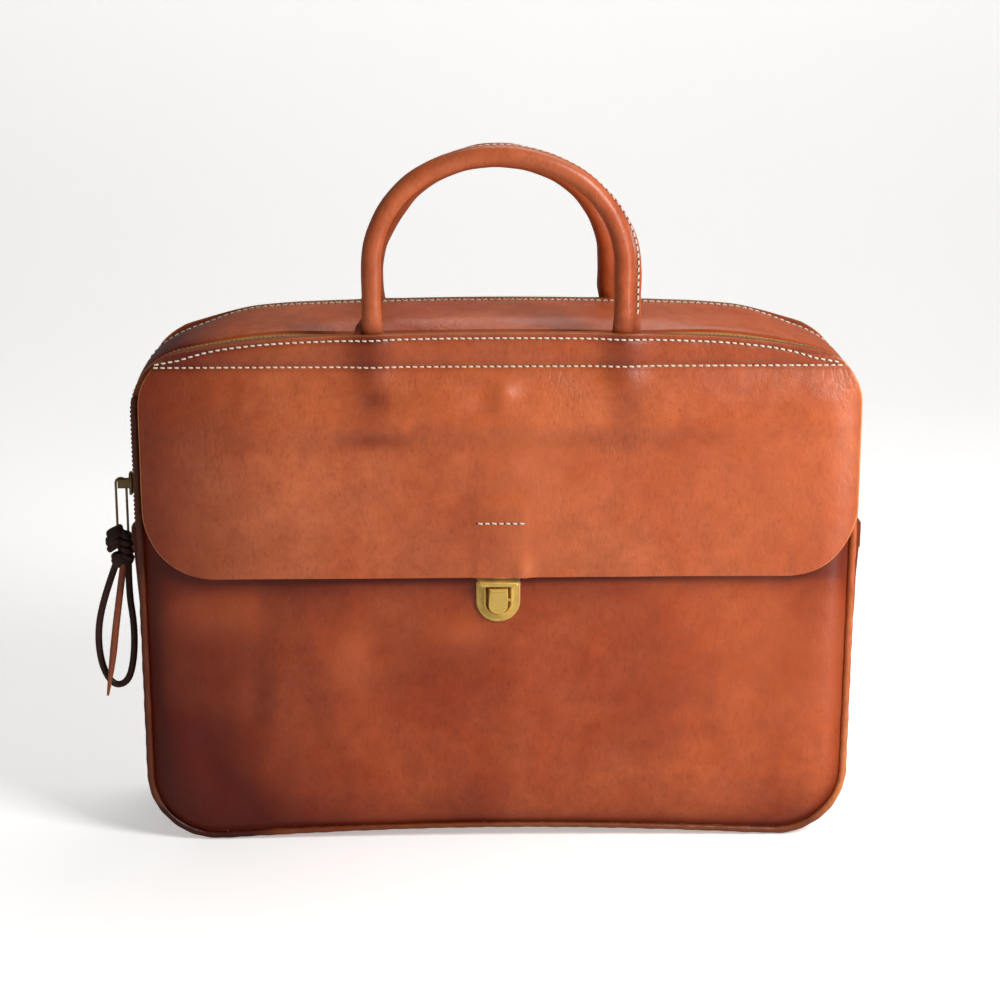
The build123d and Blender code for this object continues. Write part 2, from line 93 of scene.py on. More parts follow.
ARCH_RADIUS, ARCH_TURN, SIDE_RADIUS = 82.0, 28.6, 59.0
LEG_X = ARCH_RADIUS * sin(radians(ARCH_TURN)) + SIDE_RADIUS * (1 - sin(radians(ARCH_TURN)))
BACK_HANDLE_LEAN = 23.0

# ---- camera -------------------------------------------------------------------------------
TARGET = Vector((0.0022, 0.0, 0.1935))
CAMERA_DISTANCE, CAMERA_AZIMUTH, CAMERA_ELEVATION = 1.35, radians(-1.27), radians(14.95)
LENS = 82.84

direction = Vector((
    sin(CAMERA_AZIMUTH) * cos(CAMERA_ELEVATION),
    -cos(CAMERA_AZIMUTH) * cos(CAMERA_ELEVATION),
    sin(CAMERA_ELEVATION),
))
camera_data = bpy.data.cameras.new("camera")
camera_data.lens = LENS
camera = bpy.data.objects.new("camera", camera_data)
camera.location = TARGET + direction * CAMERA_DISTANCE
camera.rotation_euler = (-direction).to_track_quat("-Z", "Y").to_euler()
bpy.context.collection.objects.link(camera)
bpy.context.scene.camera = camera


# ---- materials ----------------------------------------------------------------------------
class Nodes:
    """Small helper that builds a material's node tree around one Principled shader."""

    def __init__(self, name, colour, roughness, metallic=0.0, specular=0.5):
        self.material = bpy.data.materials.new(name)
        self.material.use_nodes = True
        self.tree = self.material.node_tree
        self.shader = self.tree.nodes["Principled BSDF"]
        self.shader.inputs["Base Color"].default_value = (*colour, 1)
        self.shader.inputs["Roughness"].default_value = roughness
        self.shader.inputs["Metallic"].default_value = metallic
        self.shader.inputs["Specular IOR Level"].default_value = specular
        self.place = self.tree.nodes.new("ShaderNodeTexCoord").outputs["Object"]

    def link(self, out, into):
        self.tree.links.new(out, into)

    def stretched(self, scale):
        node = self.tree.nodes.new("ShaderNodeMapping")
        node.inputs["Scale"].default_value = scale
        self.link(self.place, node.inputs["Vector"])
        return node.outputs["Vector"]

    def texture(self, kind, output, vector, settings, **sockets):
        node = self.tree.nodes.new("ShaderNodeTex" + kind)
        for name, value in settings.items():
            setattr(node, name, value)
        for name, value in sockets.items():
            node.inputs[name].default_value = value
        self.link(vector or self.place, node.inputs["Vector"])
        return node.outputs[output]

    def noise(self, scale, detail=3.0, rough=0.55, distortion=0.0, vector=None):
        return self.texture("Noise", "Fac", vector, {}, Scale=scale, Detail=detail,
                            Roughness=rough, Distortion=distortion)

    def cells(self, scale, feature="F1", vector=None):
        return self.texture("Voronoi", "Distance", vector, {"feature": feature}, Scale=scale)

    def waves(self, scale, axis, distortion=0.0):
        return self.texture("Wave", "Fac", None, {"bands_direction": axis}, Scale=scale,
                            Distortion=distortion)

    def ranged(self, value, low, high, to_low=0.0, to_high=1.0):
        node = self.tree.nodes.new("ShaderNodeMapRange")
        limits = {"From Min": low, "From Max": high, "To Min": to_low, "To Max": to_high}
        for socket, number in limits.items():
            node.inputs[socket].default_value = number
        self.link(value, node.inputs["Value"])
        return node.outputs["Result"]

    def maths(self, kind, a, b):
        node = self.tree.nodes.new("ShaderNodeMath")
        node.operation = kind
        for socket, value in zip(node.inputs, (a, b)):
            if isinstance(value, (int, float)):
                socket.default_value = value
            else:
                self.link(value, socket)
        return node.outputs[0]

    def mixed(self, factor, a, b):
        node = self.tree.nodes.new("ShaderNodeMix")
        node.data_type = "RGBA"
        self.link(factor, node.inputs[0])
        for socket, value in ((node.inputs[6], a), (node.inputs[7], b)):
            if isinstance(value, tuple):
                socket.default_value = (*value, 1)
            else:
                self.link(value, socket)
        return node.outputs[2]

    def attribute(self, name):
        node = self.tree.nodes.new("ShaderNodeAttribute")
        node.attribute_name = name
        return node.outputs["Fac"]

    def bump(self, height, strength, distance, below=None):
        node = self.tree.nodes.new("ShaderNodeBump")
        node.inputs["Strength"].default_value = strength
        node.inputs["Distance"].default_value = distance
        self.link(height, node.inputs["Height"])
        if below is not None:
            self.link(below, node.inputs["Normal"])
        return node.outputs["Normal"]

    def finish(self, colour=None, roughness=None, normal=None):
        for value, socket in ((colour, "Base Color"), (roughness, "Roughness"), (normal, "Normal")):
            if value is not None:
                self.link(value, self.shader.inputs[socket])
        return self.material


def leather(name, base, dark, light, roughness=0.43, grain=1.0, crease=1.0):
    """Smooth vegetable-tanned leather: blotches, pores, fine creases; a per-vertex value paints shade by mixing
    towards the dark colour, a second one paints highlights, sheen and some paler random patches by mixing towards
    the light colour.
    """
    n = Nodes(name, base, roughness, specular=0.4)
    n.shader.inputs["Coat Weight"].default_value = 0.08
    n.shader.inputs["Coat Roughness"].default_value = 0.28
    blotch = n.ranged(n.noise(13, 3.0, 0.5, 0.3), 0.34, 0.72)
    mottle = n.ranged(n.noise(95, 4.0, 0.65), 0.3, 0.72)
    fibre = n.noise(620, 3.0, 0.6, vector=n.stretched((1.0, 1.0, 0.45)))
    colour = n.mixed(blotch, base, light)
    colour = n.mixed(n.maths("MULTIPLY", mottle, 0.34), colour, dark)
    colour = n.mixed(n.ranged(fibre, 0.52, 0.74, 0.0, 0.3), colour, dark)
    # painted shade: mixes towards the dark colour where the per-vertex shade value is high
    colour = n.mixed(n.attribute("shade"), colour, dark)
    # painted highlights and sheen, with some paler random patches: mixes towards the light colour
    colour = n.mixed(n.attribute("glow"), colour, light)
    pores = n.ranged(n.cells(820), 0.05, 0.4)
    fine = n.noise(1100, 4.0, 0.7)
    skin = n.maths("ADD", n.maths("MULTIPLY", pores, 0.6), fine)
    wander = n.noise(26, 3.0, 0.6)
    lines = n.cells(210, "DISTANCE_TO_EDGE", n.stretched((1.0, 1.0, 0.6)))
    lines = n.ranged(lines, 0.0, 0.16)
    folds = n.maths("MULTIPLY", n.ranged(wander, 0.48, 0.7), n.maths("SUBTRACT", 1.0, lines))
    normal = n.bump(n.noise(42, 4.0, 0.62), 0.42, 0.0018)
    normal = n.bump(n.maths("MULTIPLY", folds, -1.0), 0.3 * crease, 0.0004, normal)
    normal = n.bump(skin, 0.32 * grain, 0.00022, normal)
    rough = n.ranged(n.noise(52, 5.0, 0.65), 0.25, 0.75, roughness - 0.1, roughness + 0.13)
    return n.finish(colour, rough, normal)


def brass(name, base, dark, roughness=0.3):
    """Antique brass: brown patina in patches over a rubbed, brighter metal."""
    n = Nodes(name, base, roughness, metallic=0.6)
    patina = n.ranged(n.noise(110, 3.0, 0.5), 0.5, 0.9)
    colour = n.mixed(patina, base, dark)
    scratches = n.noise(420, 2.0, 0.5, vector=n.stretched((1.0, 1.0, 0.1)))
    rough = n.ranged(n.noise(180, 3.0), 0.3, 0.7, roughness - 0.05, roughness + 0.1)
    return n.finish(colour, rough, n.bump(scratches, 0.05, 0.00005))


def woven(name, base, dark, threads, roughness=0.85):
    """Woven cloth: warp and weft rows that cross, with uneven dye."""
    n = Nodes(name, base, roughness, specular=0.25)
    warp = n.waves(threads, "X", 0.4)
    weft = n.waves(threads, "Z", 0.4)
    depth = n.waves(threads, "Y", 0.4)
    cloth = n.maths("MULTIPLY", n.maths("MAXIMUM", warp, depth), n.maths("ADD", weft, 0.4))
    dye = n.maths("MULTIPLY", n.noise(140, 4.0, 0.6), n.ranged(cloth, 0.0, 1.2, 1.25, 0.45))
    return n.finish(n.mixed(dye, base, dark), None, n.bump(cloth, 0.5, 0.0003))


TAN = leather("tan_leather", (0.44, 0.082, 0.020), (0.115, 0.011, 0.003), (0.53, 0.13, 0.042),
              roughness=0.37)
POCKET = leather("pocket_leather", (0.34, 0.046, 0.007), (0.10, 0.007, 0.001), (0.46, 0.09, 0.02),
                 roughness=0.38, crease=0.6)
# cut edges: a burnished edge colour, made brighter as a painted highlight where the rounded edge catches light
EDGE = leather("burnished_edge_and_painted_highlight", (0.60, 0.19, 0.04), (0.16, 0.03, 0.01), (0.70, 0.28, 0.08),
               roughness=0.35, grain=0.6, crease=0.2)
WELT = leather("welt_leather", (0.48, 0.10, 0.022), (0.05, 0.006, 0.002), (0.62, 0.2, 0.06),
               roughness=0.38, crease=0.4)
DARK = leather("dark_thong_leather", (0.035, 0.010, 0.006), (0.010, 0.004, 0.003), (0.08, 0.026, 0.014),
               roughness=0.4, crease=0.5)
STRAP = leather("brown_strap_leather", (0.24, 0.050, 0.016), (0.07, 0.012, 0.005), (0.34, 0.09, 0.03),
                roughness=0.4, crease=0.5)
BRASS = brass("antique_brass", (1.0, 0.66, 0.17), (0.6, 0.36, 0.09), 0.2)
# darker brass for the sliders, pull rings, end clips and lock housing; on the lock's dish floor and the hasp ears
# it is painted shade in the recess and in the slot behind the bar
DARK_BRASS = brass("dark_brass", (0.34, 0.23, 0.09), (0.09, 0.055, 0.025), 0.34)
TOOTH = brass("tooth_brass", (0.3, 0.2, 0.08), (0.08, 0.05, 0.02), 0.36)
TAPE_CLOTH = woven("zip_tape_cloth", (0.55, 0.27, 0.065), (0.26, 0.11, 0.025), 620)
LINING = woven("lining_twill", (0.22, 0.14, 0.09), (0.09, 0.055, 0.035), 700)
CORE = woven("core_cotton", (0.6, 0.52, 0.4), (0.35, 0.28, 0.2), 500)
THREAD = woven("waxed_thread", (0.86, 0.79, 0.67), (0.52, 0.42, 0.3), 1500, 0.6)
# painted shade: the dark colour inside each punched stitch hole
HOLE = woven("stitch_hole_painted_shade", (0.11, 0.03, 0.012), (0.04, 0.012, 0.006), 900, 0.9)
BOARD = woven("fibre_board", (0.3, 0.2, 0.12), (0.14, 0.08, 0.045), 380, 0.9)

CAD_FINISH = {
    "leather": TAN, "thong_leather": DARK, "brass": BRASS, "zip_tape": TAPE_CLOTH, "thread": THREAD,
    "lining": LINING, "core_cord": CORE, "board": BOARD,
}
for row in frame["record"]["subparts"]:
    node = frame["nodes"][row["node"]]
    node.data.materials.clear()
    node.data.materials.append(CAD_FINISH[row["material_slot"]])
for name in ("front_slider", "rear_slider", "front_pull_ring", "rear_pull_ring",
             "front_zip_end_clips", "rear_zip_end_clips", "lock_housing"):
    frame["nodes"][name].data.materials[0] = DARK_BRASS


# ---- building meshes ----------------------------------------------------------------------
class Piece:
    """Collects vertices (mm) and faces, then becomes one Blender object."""

    def __init__(self, name, body, slot, materials):
        self.name, self.body, self.slot, self.materials = name, body, slot, materials
        self.verts, self.faces, self.kinds, self.shade, self.glow, self.count = [], [], [], [], [], 0

    def add(self, verts, faces, kind=0, shade=None, glow=None):
        verts = np.asarray(verts, float).reshape(-1, 3)
        self.verts.append(verts)
        self.faces += [tuple(i + self.count for i in face) for face in faces]
        self.kinds += [kind] * len(faces)
        for kept, values in ((self.shade, shade), (self.glow, glow)):
            kept.append(np.zeros(len(verts)) if values is None else np.asarray(values, float).ravel())
        self.count += len(verts)

    def build(self, smooth_angle=38, ride=True):
        mesh = bpy.data.meshes.new(self.name)
        mesh.from_pydata((np.concatenate(self.verts) * M).tolist(), [], self.faces)
        for material in self.materials:
            mesh.materials.append(material)
        mesh.polygons.foreach_set("material_index", self.kinds)
        # per-vertex painted shade and painted sheen (with some paler random patches), read by the leather
        # materials
        for label, values in (("shade", self.shade), ("glow", self.glow)):
            layer = mesh.attributes.new(label, "FLOAT", "POINT")
            layer.data.foreach_set("value", np.clip(np.concatenate(values), 0, 1))
        tidy = bmesh.new()
        tidy.from_mesh(mesh)
        bmesh.ops.recalc_face_normals(tidy, faces=tidy.faces)
        tidy.to_mesh(mesh)
        tidy.free()
        mesh.shade_smooth()
        mesh.set_sharp_from_angle(angle=radians(smooth_angle))
        made = bpy.data.objects.new(self.name, mesh)
        bpy.context.collection.objects.link(made)
        if ride:
            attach(made, self.body)
        return made


def grid_faces(rows, columns, wrap=False, close=False):
    """Quads over a grid of vertices; wrap joins the last column to the first, close the last row."""
    across = columns if wrap else columns - 1
    down = rows if close else rows - 1
    return [
        (r * columns + c, r * columns + (c + 1) % columns,
         (r + 1) % rows * columns + (c + 1) % columns, (r + 1) % rows * columns + c)
        for r in range(down) for c in range(across)
    ]


def smooth(t):
    t = np.clip(t, 0, 1)
    return t * t * (3 - 2 * t)


def mound(d, width):
    return np.exp(-(d / width) ** 2)


def field(x, z, size, seed):
    """Soft random hills between -1 and 1, about this many millimetres apart."""
    lattice = np.random.RandomState(seed).uniform(-1, 1, (64, 64))
    u, v = np.asarray(x) / size + 31.3, np.asarray(z) / size + 17.7
    i, j = np.floor(u).astype(int), np.floor(v).astype(int)
    fu, fv = smooth(u - i), smooth(v - j)
    pick = lambda a, b: lattice[(i + a) % 64, (j + b) % 64]
    low = pick(0, 0) * (1 - fu) + pick(1, 0) * fu
    high = pick(0, 1) * (1 - fu) + pick(1, 1) * fu
    return low * (1 - fv) + high * fv


def settle(x, z):
    """The loaded corners carry the bag, so the middle of the base stands a little higher."""
    lift = 5.5 * np.clip(1 - (x / 165) ** 2, 0, 1) ** 1.2
    return z + lift * np.exp(-np.clip(z, 0, None) / 26)


def rise(x, y, z):
    """The soft top stands up towards the back, between the corners."""
    towards_back = np.clip((y + 22) / 52, 0, 1) - 0.5 * smooth((y - 31) / 16)
    near_top = smooth((z - 245) / 45)
    sunk = 2.6 * (1 - smooth((y + 20) / 16)) * (1 - smooth((np.abs(x) - 70) / 60)) * (y > FRONT + LEATHER)
    return z + (8.2 * (1 - smooth((np.abs(x) - 138) / 54)) * towards_back - sunk) * near_top


# ---- outlines -------------------------------------------------------------------------------
def outline(top, half, lean, base, foot=BASE_RADIUS, step=1.6):
    """Half the bag's outline from the crown to the middle of the base, with outward normals."""
    points, normals, heading = [np.array([0.0, top])], [np.array([0.0, 1.0])], 0.0

    def bend(radius, turn):
        nonlocal heading
        start = radians(heading)
        centre = points[-1] - radius * np.array([sin(start), cos(start)])
        count = max(2, int(radius * radians(turn) / step))
        for k in range(1, count + 1):
            a = radians(heading + turn * k / count)
            points.append(centre + radius * np.array([sin(a), cos(a)]))
            normals.append(np.array([sin(a), cos(a)]))
        heading += turn

    def run(length):
        a = radians(heading)
        begin = points[-1]
        count = max(2, int(length / step))
        for k in range(1, count + 1):
            points.append(begin + np.array([cos(a), -sin(a)]) * length * k / count)
            normals.append(normals[-1])

    turned = radians(CROWN_TURN + SHOULDER_TURN)
    reach = (CROWN_RADIUS * sin(radians(CROWN_TURN))
             + SHOULDER_RADIUS * (sin(turned) - sin(radians(CROWN_TURN))))
    bend(CROWN_RADIUS, CROWN_TURN)
    bend(SHOULDER_RADIUS, SHOULDER_TURN)
    shoulder = len(points) - 1
    bend((half - reach) / (1 - sin(turned)), 90 + lean - CROWN_TURN - SHOULDER_TURN)
    drop = points[-1][1] - base - foot * (1 - sin(radians(lean)))
    run(drop / cos(radians(lean)))
    bend(foot, 90 - lean)
    corner = len(points) - 1
    run(points[-1][0])
    return {"points": np.array(points), "normals": np.array(normals),
            "shoulder": shoulder, "corner": corner}


def mirrored(points, normals):
    """The right half joined to its mirror image, from the left end to the right end."""
    flip = np.array([-1.0, 1.0])
    return (np.concatenate([points[::-1] * flip, points[1:]]),
            np.concatenate([normals[::-1] * flip, normals[1:]]))


def cut_at(shape, height, above):
    """The part of half an outline above or below a height, ending exactly there."""
    points, normals = shape["points"], shape["normals"]
    k = int(np.argmax(points[:, 1] < height))
    t = (points[k - 1, 1] - height) / (points[k - 1, 1] - points[k, 1])
    end = points[k - 1] + (points[k] - points[k - 1]) * t
    if above:
        return np.vstack([points[:k], end]), np.vstack([normals[:k], normals[k]])
    return np.vstack([end, points[k:]]), np.vstack([normals[k], normals[k:]])


def over_the_top(shape, height):
    return mirrored(*cut_at(shape, height, True))


def under_the_base(shape, height):
    points, normals = cut_at(shape, height, False)
    flip = np.array([-1.0, 1.0])
    return (np.concatenate([points, points[-2::-1] * flip]),
            np.concatenate([normals, normals[-2::-1] * flip]))


panel = outline(PANEL_TOP, PANEL_HALF, PANEL_LEAN, PANEL_BASE)
zip_band = outline(GUSSET_TOP, GUSSET_HALF, 0, 0)
lower_band = outline(ZIP_END + 47.0, GUSSET_HALF, GUSSET_LEAN, 0)
flap_shape = outline(PANEL_TOP, FLAP_HALF, PANEL_LEAN, FLAP_BOTTOM, step=1.3)
TOP_LINE = panel["points"][:panel["shoulder"] + 1]


def crown(x):
    """Height of the arched top edge at a distance from the middle."""
    return np.interp(np.abs(x), TOP_LINE[:, 0], TOP_LINE[:, 1])


# ---- leather sheets -------------------------------------------------------------------------
def sheet_rows(shape, top=None, columns=161, inset=0.0, fade=26):
    """A grid over an outline: rows run from side to side, and the first ones follow the arch."""
    points = shape["points"] - shape["normals"] * inset
    t = np.linspace(-1, 1, columns)
    across = t * (1.22 - 0.22 * t * t)
    if top is None:
        rows = points[shape["shoulder"]:shape["corner"] + 1]
        reach, shoulder_z = rows[0]
        line = points[:shape["shoulder"] + 1]
        arch = np.interp(np.abs(across) * reach, line[:, 0], line[:, 1]) - shoulder_z
        kept = np.clip(1 - np.arange(len(rows)) / fade, 0, 1)
    else:
        below = cut_at({"points": points, "normals": shape["normals"]}, top, False)[0]
        rows = below[:len(below) - (len(points) - 1 - shape["corner"])]
        arch, kept = np.zeros(columns), np.zeros(len(rows))
    x = rows[:, :1] * across[None]
    z = rows[:, 1:] + kept[:, None] * arch[None]
    return x, z


def shell(piece, x, y, z, thickness, facing, shade=None, glow=None, roundness=0.5):
    """A sheet of even thickness whose visible face is this grid; its cut edge is rounded."""
    face = np.stack([x, y, z], axis=-1)
    rows, columns = x.shape
    down, across = np.gradient(face, axis=0), np.gradient(face, axis=1)
    normal = np.cross(across, down)
    normal /= np.linalg.norm(normal, axis=-1, keepdims=True) + 1e-12
    normal *= np.sign(normal[..., 1:2] * facing + 1e-9)
    normal[0], normal[-1] = normal[1], normal[-2]
    normal[:, 0], normal[:, -1] = normal[:, 1], normal[:, -2]
    behind = face - normal * thickness
    tone = np.zeros((rows, columns)) if shade is None else shade
    bright = np.zeros((rows, columns)) if glow is None else glow
    faces = grid_faces(rows, columns)
    piece.add(face, faces, 0, tone, bright)
    first = piece.count - rows * columns
    # painted shade: the back face is drawn darker than the visible face
    piece.add(behind, faces, 0, tone + 0.25, bright)
    back_first = piece.count - rows * columns
    loop = [(0, c) for c in range(columns)] + [(r, columns - 1) for r in range(1, rows)]
    loop += [(rows - 1, c) for c in range(columns - 2, -1, -1)]
    loop += [(r, 0) for r in range(rows - 2, 0, -1)]
    index = np.array(loop)
    inner = np.clip(index, 1, [rows - 2, columns - 2])
    edge = face[index[:, 0], index[:, 1]]
    outward = edge - face[inner[:, 0], inner[:, 1]]
    outward /= np.linalg.norm(outward, axis=-1, keepdims=True) + 1e-12
    through = normal[index[:, 0], index[:, 1]]
    rings = [[first + r * columns + c for r, c in loop]]
    for angle in (0.2, 0.5, 0.8):
        ring = (edge - through * thickness * (1 - cos(angle * pi)) / 2
                + outward * roundness * sin(angle * pi) ** 0.6)
        # painted shade: cut edges above 284 mm, in the seam along the top, are drawn darker
        piece.add(ring, [], 1, 0.85 * smooth((edge[:, 2] - 284) / 4))
        rings.append(list(range(piece.count - len(loop), piece.count)))
    rings.append([back_first + r * columns + c for r, c in loop])
    for a, b in zip(rings, rings[1:]):
        for k in range(len(loop)):
            n = (k + 1) % len(loop)
            piece.faces.append((a[k], a[n], b[n], b[k]))
            piece.kinds.append(1)


def ribbon(piece, line, section, kind=0, shade=None, settled=False):
    """Sweeps a closed section of (outward, y) points along an outline, and closes both ends."""
    points, normals = line
    count = len(points)
    rows = []
    for k in range(count):
        ring = np.asarray(section(k, count) if callable(section) else section, float)
        x = points[k, 0] + normals[k, 0] * ring[:, 0]
        z = points[k, 1] + normals[k, 1] * ring[:, 0]
        rows.append(np.stack([x, ring[:, 1], z], axis=-1))
    verts = np.array(rows)
    if settled:
        verts[..., 2] = settle(verts[..., 0], verts[..., 2])
    else:
        verts[..., 2] = rise(verts[..., 0], verts[..., 1], verts[..., 2])
    sides = verts.shape[1]
    tone = None if shade is None else np.array([shade(v) for v in verts.reshape(-1, 3)])
    caps = [tuple(range(sides))[::-1], tuple((count - 1) * sides + i for i in range(sides))]
    piece.add(verts, grid_faces(count, sides, wrap=True) + caps, kind, tone)


def soft_strip(front, back, outer, inner, crown_height=0.0, steps=14, edge=0.5):
    """A strip's section with rounded edges: outer face crowned, inner face parallel to it."""
    t = np.linspace(-1, 1, steps)
    y = (front + back) / 2 + t * (back - front) / 2
    rise = crown_height * (1 - t * t)
    drop = edge * np.abs(t) ** 14
    face = [(outer + r - d, v) for r, d, v in zip(rise, drop, y)]
    under = [(inner + r, v) for r, v in zip(rise, y)][::-1]
    return face + under


# ---- stitches ---------------------------------------------------------------------------------
PITCH = 3.9
STITCH = 2.95
THREAD_RADIUS = 0.52
HOLE_HALF = (0.62, 0.5)         # along the row and across it


def along(points, spacing, centred=True):
    """Even places along a line: their positions and directions."""
    points = np.asarray(points, float)
    steps = np.linalg.norm(np.diff(points, axis=0), axis=1)
    travelled = np.concatenate([[0], np.cumsum(steps)])
    count = int(travelled[-1] / spacing)
    start = (travelled[-1] - count * spacing) / 2 + (spacing / 2 if centred else 0)
    places = start + spacing * np.arange(count if centred else count + 1)
    take = lambda s: np.stack([np.interp(s, travelled, points[:, i]) for i in range(3)], axis=-1)
    ahead = take(np.clip(places + 0.4, 0, travelled[-1])) - take(np.clip(places - 0.4, 0, travelled[-1]))
    return take(places), ahead / np.linalg.norm(ahead, axis=1, keepdims=True)


def tube(centre, across, up, radii, sides=6):
    """Vertices of rings round a short path; across and up are the ring's axes."""
    angle = np.arange(sides) * 2 * pi / sides
    return np.array([
        c + r[0] * np.outer(np.cos(angle), across) + r[1] * np.outer(np.sin(angle), up)
        for c, r in zip(centre, radii)
    ])


STITCH_SHAPE = [(-0.5, -0.25, 0.3), (-0.4, 0.12, 0.85), (-0.15, 0.36, 1.0), (0.15, 0.36, 1.0),
                (0.4, 0.12, 0.85), (0.5, -0.25, 0.3)]     # along, up, thickness


def stitch_row(piece, points, outward, pitch=PITCH, slant=0.14, seed=1):
    """Saddle stitches of waxed thread along a line on the surface, with a punched hole between."""
    outward = outward if callable(outward) else (lambda p, fixed=np.asarray(outward, float): fixed)
    chance = np.random.RandomState(seed)
    places, ahead = along(points, pitch)
    for place, direction in zip(places, ahead):
        up = np.asarray(outward(place), float)
        up = up - direction * np.dot(up, direction)
        up /= np.linalg.norm(up)
        side = np.cross(direction, up)
        length = STITCH * pitch / PITCH * chance.uniform(0.93, 1.05)
        lean = slant + chance.uniform(-0.05, 0.05)
        centre = [place + direction * a * length + up * h + side * a * lean * 2
                  for a, h, thickness in STITCH_SHAPE]
        radii = [(THREAD_RADIUS * thickness, THREAD_RADIUS * thickness * 0.8)
                 for a, h, thickness in STITCH_SHAPE]
        rings = tube(centre, side, up, radii)
        faces = grid_faces(len(centre), 6, wrap=True)
        faces += [(5, 4, 3, 2, 1, 0), tuple(30 + i for i in range(6))]
        piece.add(rings, faces, 0)
        # each hole is a small dark dish: painted shade inside the punched hole
        hole = place - direction * pitch / 2
        angle = np.arange(8) * pi / 4
        rim = hole + np.outer(np.cos(angle), direction) * HOLE_HALF[0]
        rim = rim + np.outer(np.sin(angle), side) * HOLE_HALF[1]
        dish = np.vstack([rim - up * 0.25, rim + up * 0.03, [hole + up * 0.05]])
        fan = [(8 + i, 8 + (i + 1) % 8, 16) for i in range(8)]
        piece.add(dish, fan + grid_faces(2, 8, wrap=True) + [tuple(range(8))[::-1]], 1)


def stitches(name, body="bag"):
    return Piece(name, body, "thread", [THREAD, HOLE])


# ---- the flap: one sheet from the arched top edge, over the hinge, down to the lock ------------
YOKE_OUTER = FRONT - YOKE_GAP - LEATHER
ROW_DROP = 2.6                  # stitch rows lie this far inside an edge


def hills(x, z, table):
    """Sum of soft hills: middle x and z, half width and height in x and z, size, slant."""
    return sum(size * mound(x - mid_x + slant * (z - mid_z), wide) * mound(z - mid_z, high)
               for mid_x, mid_z, wide, high, size, slant in table)


FLAP_HILLS = [                  # above zero goes in, below zero stands out
    (3.5, 270, 6.5, 6, -2.1, 0), (-7, 264, 8, 5, 1.1, 0), (-LEG_X, 266, 7, 5, 0.8, 0),
    (-LEG_X - 2, 243, 14, 3.5, 0.7, 0), (LEG_X, 262, 12, 9, 0.6, 0), (14, 168, 5.5, 8, -2.0, 0),
    (36, 168, 14, 3, 0.5, 0),
]
# painted shade: darker patches round the left handle-tab bulge
FLAP_BULGE_SHADE = [(-LEG_X, 265, 8, 6, 0.35, 0), (-LEG_X, 243, 14, 4, 0.3, 0)]
# painted highlights: sheen right of the middle, by the hasp and on the raised bump below the top edge
FLAP_PAINTED_SHINE = [(18, 215, 26, 60, 0.45, 0), (14, 170, 6, 9, 0.6, 0), (5, 272, 8, 7, 0.5, 0)]


def leg_bulge(x, z):
    """The leather rises over the two handle tabs sewn behind it."""
    near = mound(np.abs(x) - LEG_X, 10.5)
    return near * smooth((z - 262) / 26) * 2.6


def flap_face(x, z):
    t = np.clip((YOKE_BOTTOM - z) / (YOKE_BOTTOM - FLAP_STRAIGHT), 0, 1)
    y = YOKE_OUTER + (FLAP_OUTER - YOKE_OUTER) * t * (2 - t)
    y = y - leg_bulge(x, z)
    arched = crown(x) - ROW_DROP
    y = y - 0.75 * np.clip((z - YOKE_BOTTOM) * (arched - z), 0, None) / 60
    y = y + 0.5 * mound(z - YOKE_BOTTOM, 1.5) + 0.45 * mound(z - arched, 1.5)
    hanging = smooth((YOKE_BOTTOM - z) / 30)
    y = y + (2.4 + 1.8 * (x > 0)) * smooth((np.abs(x) - 176) / 28) ** 2 * hanging
    y = y - hanging * (0.75 * field(x, z * 1.3, 62, 4) + 0.3 * field(x * 1.2, z, 23, 9))
    y = y - 0.55 * smooth((16.5 - np.abs(x - 1.3)) / 3) * smooth((212 - z) / 4) * hanging
    y = y + hills(x, z, FLAP_HILLS)
    y = y + 0.35 * mound(z - 243 - 0.01 * x, 5) * hanging
    return y


x, z = sheet_rows(flap_shape, columns=201)
x = x + FLAP_SHIFT
y = flap_face(x, z)
# painted shade: the left side away from the key light, round the handle-tab bulges, in the crease at 243 mm, over
# the yoke and along the stitch-row grooves; the last term adds random darker patches of tone
shade = (0.8 * smooth((-x - 100) / 110) + 0.42 * mound(np.abs(x) - LEG_X, 12) * smooth((z - 225) / 45)
         + 0.22 * mound(z - 243, 7) * smooth((150 - np.abs(x)) / 60)
         + hills(x, z, FLAP_BULGE_SHADE) + 0.22 * smooth((z - YOKE_BOTTOM) / 3)
         + 0.3 * mound(z - YOKE_BOTTOM, 2.2) + 0.3 * mound(z - crown(x) + ROW_DROP, 2.0)
         + 0.18 * (field(x, z, 34, 12) > 0) * np.abs(field(x, z, 34, 12)))
# painted highlights and sheen, and a broad painted sheen over the right half
glow = hills(x, z, FLAP_PAINTED_SHINE) + 0.25 * smooth((x - 60) / 120) * mound(z - 215, 50)
flap_leather = Piece("flap_leather", "flap", "leather", [TAN, EDGE])
shell(flap_leather, x, y, z, LEATHER, -1, shade, glow, roundness=0.9)
flap_object = flap_leather.build(ride=False)
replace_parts(flap_object, "flap", "flap_yoke")
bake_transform(flap_object)


def arched_row(v):
    """Height of the row that follows the arched top edge and dips at both ends."""
    return float(crown(v)) - ROW_DROP - 4.2 * max(0.0, (abs(v) - 150) / 40) ** 2


def row_on_flap(low, high, height):
    line_x = np.linspace(low, high, 260)
    line_z = np.array([height(v) for v in line_x])
    return np.stack([line_x, flap_face(line_x, line_z), line_z], axis=-1)


arched_line = row_on_flap(-192, 193, arched_row)
for name, body, line, outward, seed in (
    ("flap_arched_stitches", "bag", arched_line[arched_line[:, 2] > YOKE_BOTTOM + 0.8], (0, -1, 0.12), 1),
    ("flap_straight_stitches", "bag", row_on_flap(-193, 194, lambda v: YOKE_BOTTOM - 0.4), (0, -1, 0.1), 2),
    ("flap_short_stitches", "flap", row_on_flap(-14, 17, lambda v: 195.6), (0, -1, 0), 3),
):
    row = stitches(name, body)
    stitch_row(row, line, outward, seed=seed)
    row.build()


